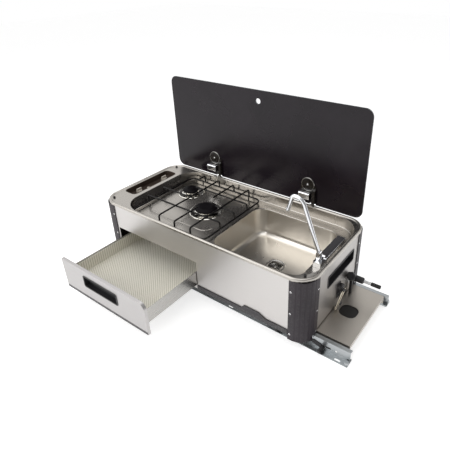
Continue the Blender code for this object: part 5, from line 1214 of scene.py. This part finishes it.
        # The knob's pale finish is painted sheen.
        stand_in(joined([skirt, crown, eased(grip, 0.9 * MM, 3)]), f"knob_{name}", self.looks.knob, 40.0)
        body = BODY_OF[f"knob_{name}"]
        fit(turned(mm(self.collar_profile), base, sides=48), f"knob_collar_{name}", self.looks.chrome, body)
        place = (self.knob_line, y - self.mark_inset, self.knob_top - 0.1 * MM)
        fit(turned(mm(self.mark_profile), place, sides=14), f"knob_mark_{name}", self.looks.rubber, body)

    def build(self) -> None:
        """Build the hob from its burners up to its knobs and the igniter's dished button."""
        for burner in (self.rear, self.front):
            self.build_burner(burner)
        self.build_support()
        for name, y in self.knob_places:
            self.build_knob(name, y)
        button = turned(mm(self.igniter_profile), (self.knob_line, self.igniter_place, self.knob_base))
        stand_in(button, "igniter_button", self.looks.knob, 40.0)
        dress_soft(["gas_manifold"], self.looks.brass, 0.4 * MM)


# Lid with its hinges, and the folding tap


@dataclass
class Lid:
    """Smoked glass lid on two offset hinges with spring housings.

    disc_profile and ring_profile count outwards from disc_radius. A row of housing_shares is a share of the
    housing's section, then millimetres in from its end.
    """

    looks: Looks
    low: Point = (-425.5 * MM, 271.4 * MM)
    high: Point = (425.5 * MM, 654 * MM)
    face: float = 199 * MM
    thickness: float = 5 * MM
    corner: float = 28 * MM
    ground: float = 0.9 * MM
    hole: Point = (0.0, 614 * MM)
    hole_profile: Profile = ((10, -3), (10, 9))
    hinge_places: Sequence[tuple[str, float]] = (("left", -216 * MM), ("right", 216 * MM))
    hinge_line: Point = (193 * MM, 277.5 * MM)
    hinge_gap: float = 0.3 * MM
    knuckle_radius: float = 5.5 * MM
    disc_height: float = 349 * MM
    disc_radius: float = 27 * MM
    disc_profile: Profile = ((0.0, 0.0), (0.0, 1.0), (-0.4, 2.2), (-1.8, 3.4), (-4.2, 4.1), (-6.5, 4.4))
    disc_crown: Sequence[Point] = ((7 * MM, 4.9 * MM), (0.5 * MM, 5.0 * MM))
    ring_profile: Profile = ((-3.4, 3.6), (-3.1, 4.6), (-1.9, 4.7), (-0.9, 3.6), (-0.7, 2.4), (-2.2, 2.2))
    bolt_profile: Profile = ((0.4, 4.6), (3.6, 4.6), (3.6, 5.6), (3.0, 6.4), (1.8, 6.8), (0.4, 6.9))
    arm_profile: Profile = ((198.5, 337), (196.5, 337.5), (187.6, 332))
    arm_reach: Point = (21 * MM, 33 * MM)
    plate_low: Point = (-28 * MM, 296 * MM)
    plate_high: Point = (32.6 * MM, 348 * MM)
    plate_thickness: float = 3.2 * MM
    housing_reach: Point = (-28 * MM, 16 * MM)
    housing_low: Point = (176.2 * MM, 296 * MM)
    housing_high: Point = (195.2 * MM, 321 * MM)
    housing_shares: Sequence[Point] = ((0.90, 0.0), (0.97, 0.5), (1.0, 1.6), (1.0, 5.2), (0.955, 5.5),
                                       (0.955, 6.1), (1.0, 6.4))

    def edge_ring(self, inset: float, y: float) -> Ring:
        """Loop of the glass at an inset from its outline."""
        return lay(grown(self.low, self.high, -inset, self.corner, 12), Axis.Y, y)

    def build_glass(self) -> None:
        """Cut the pane, grind its edge and give the edge its paler finish."""
        back = self.face + self.thickness
        depths = ((self.ground, 0.0), (0.25 * MM, 0.3 * MM), (0.0, self.ground))
        rings = [self.edge_ring(inset, self.face + depth) for inset, depth in depths]
        rings += [self.edge_ring(inset, back - depth) for inset, depth in reversed(depths)]
        cutter = turned(mm(self.hole_profile), (self.hole[0], self.face, self.hole[1]), Axis.Y.value, sides=48)
        pane = eased(pierced(lofted(rings), cutter), 0.35 * MM, 2, 60.0)
        stand_in(pane, "lid_glass", self.looks.glass, 14.0)
        part_coated(pane, self.looks.glass_edge, lambda face: abs(face.normal.y) < 0.8)

    def build_hinge(self, word: str, centre: float) -> None:
        """Set a disc with a bright ring and a bolt on the glass, and an arm down to the pin.

        Args:
            word: End of the hinge's node names.
            centre: Middle of the hinge along the lid.
        """
        front, forward = self.face - self.hinge_gap, (0.0, -1.0, 0.0)
        place = (centre, front, self.disc_height)
        dome = [(0.5 * MM, 0.0), *mm(self.disc_profile, self.disc_radius), *self.disc_crown]
        disc = turned(dome, place, forward, sides=64)
        outline = rounded((centre + self.plate_low[0], self.plate_low[1]),
                          (centre + self.plate_high[0], self.plate_high[1]), 2 * MM, 3)
        plate = eased(bar(outline, Axis.Y, front - self.plate_thickness, front), 0.5 * MM)
        knuckle = [(self.hinge_line[0] - self.knuckle_radius * math.cos(math.radians(turn)),
                    self.hinge_line[1] - self.knuckle_radius * math.sin(math.radians(turn)))
                   for turn in range(0, 181, 12)]
        start, end = self.arm_reach
        arm = eased(bar([*knuckle, *mm(self.arm_profile)], Axis.X, centre + start, centre + end), 0.6 * MM)
        stand_in(joined([disc, plate, arm]), f"hinge_arm_{word}", self.looks.disc, 40.0)
        ring = turned(mm(self.ring_profile, self.disc_radius), place, forward, sides=64)
        fit(ring, f"hinge_ring_{word}", self.looks.drawer, "lid")
        bolt = turned(mm(self.bolt_profile), place, forward, sides=28)
        fit(bolt, f"hinge_bolt_{word}", self.looks.bright, "lid")

    def build_housing(self, word: str, centre: float) -> None:
        """Build a hinge's spring housing, with a seam round it near each end.

        Args:
            word: End of the hinge's node names.
            centre: Middle of the hinge along the lid.
        """
        left, right = (centre + reach for reach in self.housing_reach)
        low, high = self.housing_low, self.housing_high
        section = rounded(low, high, 5 * MM, 6)
        middle = ((low[0] + high[0]) / 2, (low[1] + high[1]) / 2)
        places = [(share, left + inset * MM) for share, inset in self.housing_shares]
        places += [(share, right - inset * MM) for share, inset in reversed(self.housing_shares)]
        rings = [lay([(middle[0] + (across - middle[0]) * share, middle[1] + (up - middle[1]) * share)
                      for across, up in section], Axis.X, x) for share, x in places]
        stand_in(lofted(rings), f"hinge_block_{word}", self.looks.chrome, 40.0)

    def build(self) -> None:
        """Build the pane and both hinges."""
        self.build_glass()
        for word, centre in self.hinge_places:
            self.build_hinge(word, centre)
            self.build_housing(word, centre)


@dataclass
class Tap:
    """Mixer that folds down: block, swivel with a fork, bent spout and a flat lever."""

    looks: Looks
    fold: Point = (398 * MM, -50.5 * MM, 268 * MM)
    spout_radius: float = 6.6 * MM
    spout_bend: float = 9 * MM
    spout_profile: Profile = ((-3.2, 8.3), (-62, 160), (-77.3, 170), (-97.7, 170), (-113, 119))
    barrel_profile: Profile = ((4, -5.2), (7.2, -5.2), (7.7, -4.6), (7.7, 4.6), (7.2, 5.2), (4, 5.2))
    nozzle_profile: Profile = ((3, -5.1), (6.1, -5.1), (7.1, -4.4), (7.2, -1.4), (6.9, -1.1), (6.9, -0.5),
                               (7.2, -0.2), (7.2, 3.6), (6.9, 4.6), (6.2, 5.0), (5.2, 5.0), (5.1, 3.8), (3, 3.7))
    aerator_profile: Profile = ((0.3, 3.8), (5.0, 3.8), (5.0, 4.1), (0.3, 4.2))
    lever_height: float = 241.5 * MM
    lever_slope: float = 9 * MM
    lever_least_length: float = 60 * MM

    def build_spout(self) -> None:
        """Sweep the bent pipe from its barrel, and turn the nozzle and aerator on its end."""
        corners = [Vector(self.fold) + Vector((x, 0.0, z)) for x, z in mm(self.spout_profile)]
        pipe = swept(smooth_path(corners, self.spout_bend, 10), self.spout_radius, 28)
        barrel = turned(mm(self.barrel_profile), self.fold, Axis.Y.value)
        end, drop = corners[-1], (corners[-1] - corners[-2]).normalized()
        nozzle = turned(mm(self.nozzle_profile), end, drop, sides=36)
        stand_in(joined([pipe, barrel, nozzle]), "tap_spout", self.looks.chrome, 40.0)
        # The aerator is a dark disc of painted shade inside the nozzle.
        aerator = turned(mm(self.aerator_profile), end, drop, sides=28)
        fit(aerator, "aerator", self.looks.void, "spout")

    def is_lever_edge(self, edge: bmesh.types.BMEdge) -> bool:
        """Whether an edge is the lever's long one at the top right.

        Args:
            edge: Edge of the lever's solid.

        Returns:
            Whether it is that one.
        """
        first, second = (vert.co for vert in edge.verts)
        return (abs(first.y - second.y) > self.lever_least_length and first.z + second.z > 2 * self.lever_height
                and first.x > self.fold[0])

    def build_lever(self) -> None:
        """Slope the lever's top towards the end panel and ease its edges."""
        lever = taken("tap_lever")
        choose(lever, Domain.EDGE, self.is_lever_edge)
        bpy.ops.mesh.bevel(offset=self.lever_slope, segments=5, clamp_overlap=False)
        deselect()
        stand_in(eased(lever, 0.5 * MM, 2, 40.0), "tap_lever", self.looks.chrome, 50.0)

    def build(self) -> None:
        """Build the tap from the deck up."""
        dress_soft(["tap_base", "tap_swivel"], self.looks.chrome, 0.9 * MM)
        self.build_lever()
        self.build_spout()


# Box, drawer, floor slides and the fittings of the right end


def screw_head(place: Point, way: Point, radius: float) -> bpy.types.Object:
    """Domed head, the pattern for every screw of the pod.

    Args:
        place: Middle of its seat.
        way: Direction in which it stands out.
        radius: Radius of the head.

    Returns:
        The head.
    """
    profile = [(0.3 * MM, -0.3 * MM), (radius, -0.3 * MM), (radius, 0.3 * MM), (radius * 0.86, 0.9 * MM),
               (radius * 0.55, 1.25 * MM), (0.3 * MM, 1.3 * MM)]
    return turned(profile, place, way, sides=20)


def screw_recess(place: Point, way: Point, radius: float) -> bpy.types.Object:
    """Dark hexagon of painted shade at the middle of a screw's head."""
    profile = [(0.2 * MM, 1.2 * MM), (radius * 0.42, 1.2 * MM), (radius * 0.42, 1.36 * MM), (0.2 * MM, 1.36 * MM)]
    return turned(profile, place, way, sides=6)


@dataclass
class Box:
    """Sheet steel box: panels, ribbed corner posts, bottom trim and end pulls."""

    looks: Looks
    post_centre: Point = (397.5 * MM, 148.5 * MM)
    post_radius: float = 52 * MM
    flange: float = 7 * MM
    post_low: float = 30 * MM
    post_high: float = 258.7 * MM
    screw_radius: float = 3.4 * MM
    screw_shares: Sequence[float] = (0.10, 0.46, 0.82)
    left_sink: float = 0.9 * MM

    def screw_places(self) -> list[tuple[Point, Point]]:
        """Places of the screws in the posts' flanges; those at the left end are sunk into the CAD's box.

        Returns:
            Middle and direction of each screw.
        """
        across, along = self.post_centre
        reach = self.post_radius - 0.1 * MM
        places = []
        for side_x in (-1, 1):
            end_reach = reach - self.left_sink if side_x < 0 else reach
            for side in Side:
                for share in self.screw_shares:
                    height = self.post_low + share * (self.post_high - self.post_low)
                    long_face = (side_x * (across - self.flange), side.value * (along + reach), height)
                    end_face = (side_x * (across + end_reach), side.value * (along - self.flange), height)
                    places.append((long_face, (0.0, float(side.value), 0.0)))
                    places.append((end_face, (float(side_x), 0.0, 0.0)))
        return places

    def build_screws(self) -> None:
        """Screw the posts' flanges to the panels."""
        places = self.screw_places()
        heads = joined([screw_head(place, way, self.screw_radius) for place, way in places])
        fit(heads, "post_screws", self.looks.bright, "carriage")
        # Dark hexagons of painted shade in the screw heads.
        recesses = joined([screw_recess(place, way, self.screw_radius) for place, way in places])
        fit(recesses, "post_screw_recesses", self.looks.void, "carriage")

    def build(self) -> None:
        """Dress the box."""
        dress_soft(["floor_panel", "front_panel", "back_panel"], self.looks.panel, 0.4 * MM)
        dress_soft(["left_end_panel", "right_end_panel"], self.looks.end_panel, 0.4 * MM)
        for word in ("front_left", "front_right", "back_left", "back_right"):
            node = "corner_post_" + word
            stand_in(softened(node, 0.25 * MM), node, self.looks.post, 20.0)
        dress_soft(["bottom_trim"], self.looks.dark, 0.7 * MM)
        dress_soft(["end_pull_left", "end_pull_right"], self.looks.plastic, 0.5 * MM)
        self.build_screws()


@dataclass
class Drawer:
    """Shallow drawer on telescopic runners, with a lozenge liner and a dark strip at the foot of its front."""

    looks: Looks
    strip_top: float = 59.2 * MM

    def build(self) -> None:
        """Dress the drawer."""
        dress_soft(["drawer_box"], self.looks.drawer, 0.3 * MM)
        front = stand_in(softened("drawer_front", 0.4 * MM), "drawer_front", self.looks.face)
        part_coated(front, self.looks.dark, lambda face: max(vert.co.z for vert in face.verts) < self.strip_top)
        dress_soft(["drawer_pull"], self.looks.plastic, 0.5 * MM)
        dress_soft(["drawer_mat"], self.looks.liner, 0.6 * MM)
        dress_soft(["runner_mid_left", "runner_mid_right"], self.looks.zinc, 0.25 * MM)


@dataclass
class FloorSlides:
    """Two telescopic slides on a ladder frame, with their lock levers and the tray that they carry."""

    looks: Looks
    web: float = 153.3 * MM
    middle_height: float = 21.5 * MM
    slot_places: Sequence[float] = (-0.40, -0.27, -0.14, 0.02, 0.16, 0.38, 0.50)
    slot_half: Point = (9 * MM, 3.1 * MM)
    bolt_offset: float = 27 * MM
    bolt_radius: float = 3.8 * MM
    hole_shade_low: Point = (462 * MM, -31 * MM)
    hole_shade_high: Point = (525 * MM, 31 * MM)
    hole_shade_rise: Point = (43.6 * MM, 44.9 * MM)

    def build_slots(self) -> None:
        """Set slots of painted shade and bolt heads along the outer webs."""
        slots, bolts = [], []
        across, up = self.slot_half
        for side in Side:
            y = side.value * (self.web + 0.02 * MM)
            for x in self.slot_places:
                outline = rounded((x - across, self.middle_height - up), (x + across, self.middle_height + up),
                                  3 * MM, 5)
                slots.append(bar(outline, Axis.Y, y - 0.15 * MM, y + 0.15 * MM))
                bolts.append(screw_head((x + self.bolt_offset, y, self.middle_height), (0.0, float(side.value), 0.0),
                                        self.bolt_radius))
        # Thin dark bars: painted shade in the slots.
        fit(joined(slots), "slide_slots", self.looks.void, "slide_base")
        fit(joined(bolts), "slide_bolts", self.looks.bright, "slide_base")

    def build(self) -> None:
        """Dress the slides, frame, levers and tray, and fill the tray's hole with a plate of painted shade."""
        members = [f"slide_{word}_{side}" for word in ("outer", "mid", "inner") for side in ("front", "rear")]
        dress_soft([*members, "cross_frame"], self.looks.zinc)
        dress_soft(["lock_lever_inner", "lock_lever_outer"], self.looks.plastic, 1.2 * MM)
        dress_soft(["base_tray"], self.looks.tray, 0.4 * MM)
        # Dark plate in the tray's hole: painted shade.
        hole_shade = bar(rounded(self.hole_shade_low, self.hole_shade_high, 23 * MM), Axis.Z, *self.hole_shade_rise)
        fit(eased(hole_shade, 0.3 * MM), "tray_hole_shade", self.looks.void, "carriage")
        self.build_slots()


@dataclass
class RightEnd:
    """Gas shut-off with its ribbed tail, and the bail latch that holds the pod on its tray.

    A row of rib_shape is a radius in millimetres, then a share of one rib's length.
    """

    looks: Looks
    tail_start: Point = (500.6 * MM, 88 * MM, 115 * MM)
    tail_length: float = 26 * MM
    tail_ribs: int = 6
    rib_shape: Sequence[Point] = ((4.5, 0.0), (5.3, 0.15), (5.5, 0.4), (5.2, 0.7), (4.5, 0.92))
    cap_profile: Profile = ((3, 25.6), (6.2, 25.8), (6.5, 26.8), (6.5, 54.8), (5.9, 56.3), (4.6, 56.9), (0.4, 57))
    bail_head: Point = (465.5 * MM, 8 * MM, 116 * MM)
    bail_foot: Point = (457 * MM, -18 * MM, 54.6 * MM)
    bail_halves: Point = (13 * MM, 10 * MM)
    bail_bend: float = 2.8 * MM
    bail_radius: float = 1.7 * MM
    screw_face: float = 450.2 * MM
    screw_heights: Point = (89 * MM, 97 * MM)
    screw_radius: float = 2.6 * MM

    def build_tail(self) -> None:
        """Turn the ribbed hose tail with its black cap."""
        pitch = self.tail_length / self.tail_ribs
        profile = [(radius * MM, (rib + share) * pitch) for rib in range(self.tail_ribs)
                   for radius, share in self.rib_shape]
        stand_in(turned(profile, self.tail_start, Axis.X.value, sides=32), "hose_tail", self.looks.bright, 50.0)
        cap = turned(mm(self.cap_profile), self.tail_start, Axis.X.value, sides=36)
        fit(cap, "hose_tail_cap", self.looks.rubber, "carriage")

    def build_bail(self) -> None:
        """Bend the wire bail from the lever down to its catch."""
        head, foot = Vector(self.bail_head), Vector(self.bail_foot)
        at_head, at_foot = (Vector((0.0, half, 0.0)) for half in self.bail_halves)
        corners = [head, head + at_head, foot + at_foot, foot - at_foot, head - at_head, head]
        path = smooth_path(corners, self.bail_bend, 6)[:-1]
        stand_in(swept(path, self.bail_radius, closed=True), "latch_bail", self.looks.warm, 60.0)

    def build(self) -> None:
        """Dress the right end."""
        dress_soft(["shutoff_body"], self.looks.plastic, 0.6 * MM)
        dress_soft(["shutoff_knob"], self.looks.plastic, 0.9 * MM)
        dress_soft(["latch_base", "latch_lever"], self.looks.dark, 0.5 * MM)
        self.build_tail()
        self.build_bail()
        heads = [screw_head((self.screw_face, self.bail_head[1], height), Axis.X.value, self.screw_radius)
                 for height in self.screw_heights]
        fit(joined(heads), "latch_screws", self.looks.bright, "carriage")


# Studio: camera, floor, dome and lamps


@dataclass(frozen=True)
class Lamp:
    """One soft rectangular lamp: where it hangs, the point that it faces, its width and height, and its watts."""

    name: str
    place: Point
    aim: Point
    size: Point
    power: float

    def build(self) -> None:
        """Hang the lamp."""
        data = bpy.data.lights.new(self.name, "AREA")
        data.shape = "RECTANGLE"
        data.size, data.size_y = self.size
        data.energy = self.power
        made = bpy.data.objects.new(self.name, data)
        made.location = self.place
        made.rotation_euler = (Vector(self.aim) - Vector(self.place)).to_track_quat("-Z", "Y").to_euler()
        bpy.context.scene.collection.objects.link(made)


@dataclass
class Studio:
    """Pale floor, soft lamps and a camera at the photograph's viewing angle."""

    lens: float = 34.75
    sensor: float = 36.0
    near: float = 0.01
    shift: Point = (-0.057, -0.048)
    camera_place: Point = (0.8751, -1.0339, 1.0461)
    right: Point = (0.8085, 0.5882, -0.0188)
    down: Point = (0.2736, -0.4038, -0.873)
    floor_half: float = 9.0
    floor_drop: float = 0.4 * MM
    floor_shade: Colour = (0.82, 0.82, 0.82)
    floor_glow: float = 0.62
    dome_light: float = 0.42
    dome_gloss: Point = (1.0, 0.3)
    dome_span: Point = (-0.6, 0.7)
    white: Colour = (1.0, 1.0, 1.0)
    lamps: Sequence[Lamp] = (
        Lamp("soft_top", (-0.3, -0.2, 2.6), (0.0, 0.0, 0.2), (3.4, 2.6), 26.0),
        Lamp("soft_front", (-1.3, -2.6, 1.5), (0.0, 0.0, 0.1), (3.2, 2.0), 34.0),
        Lamp("soft_right", (1.9, 1.8, 1.15), (0.3, 0.0, 0.2), (1.4, 1.0), 6.0))

    def camera(self) -> None:
        """Set up the camera."""
        data = bpy.data.cameras.new("camera")
        data.lens = self.lens
        data.sensor_width = self.sensor
        data.shift_x, data.shift_y = self.shift
        data.clip_start = self.near
        made = bpy.data.objects.new("camera", data)
        right, up = Vector(self.right).normalized(), -Vector(self.down).normalized()
        back = right.cross(up).normalized()
        turn = Matrix((right, back.cross(right), back)).transposed().to_4x4()
        made.matrix_world = Matrix.Translation(Vector(self.camera_place)) @ turn
        bpy.context.scene.collection.objects.link(made)
        bpy.context.scene.camera = made

    def floor(self) -> None:
        """Lay the pale floor that keeps the object's shadow."""
        deselect()
        bpy.ops.mesh.primitive_plane_add(size=2 * self.floor_half, location=(0.0, 0.0, -self.floor_drop))
        made = bpy.context.object
        made.name = "studio_floor"
        look = Look("pale studio floor", self.floor_shade, Roughness=0.9)
        look.shader["Emission Color"].default_value = shaded(self.white)
        path = look.add("LightPath").outputs
        seen = look.math("MAXIMUM", path["Is Camera Ray"], self.mirrored(look, path))
        look.feed(look.shader["Emission Strength"], look.math("MULTIPLY", seen, self.floor_glow))
        made.data.materials.append(look.material)
        deselect()

    @staticmethod
    def mirrored(graph: Graph, path: bpy.types.NodeOutputs) -> bpy.types.NodeSocket:
        """One for rays off a gloss or through glass."""
        return graph.math("MAXIMUM", path["Is Glossy Ray"], path["Is Transmission Ray"])

    def world(self) -> None:
        """Hang a dome, white to the camera, whose light on gloss and glass falls off towards the right."""
        world = bpy.data.worlds.new("studio")
        world.use_nodes = True
        bpy.context.scene.world = world
        graph = Graph(world.node_tree)
        dome = world.node_tree.nodes["Background"].inputs
        dome["Color"].default_value = shaded(self.white)
        path = graph.add("LightPath").outputs
        way = graph.add("SeparateXYZ", {"Vector": graph.add("TexCoord").outputs["Generated"]})
        gloss = graph.spread(way.outputs["X"], *self.dome_span, *self.dome_gloss)
        extra = graph.math("MULTIPLY", self.mirrored(graph, path), graph.math("SUBTRACT", gloss, self.dome_light))
        light = graph.math("ADD", extra, self.dome_light)
        graph.feed(dome["Strength"], graph.math("MAXIMUM", path["Is Camera Ray"], light))

    def build(self) -> None:
        """Set up the whole studio."""
        self.camera()
        self.floor()
        self.world()
        for lamp in self.lamps:
            lamp.build()
        bpy.context.scene.view_settings.view_transform = "Standard"


def main() -> None:
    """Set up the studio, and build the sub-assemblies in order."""
    logging.basicConfig(level=logging.INFO, format="%(message)s")
    Studio().build()
    looks = Looks()
    for assembly in (FloorSlides, Box, Drawer, Worktop, Hob, Lid, Tap, RightEnd):
        assembly(looks).build()


if __name__ == "__main__":
    main()
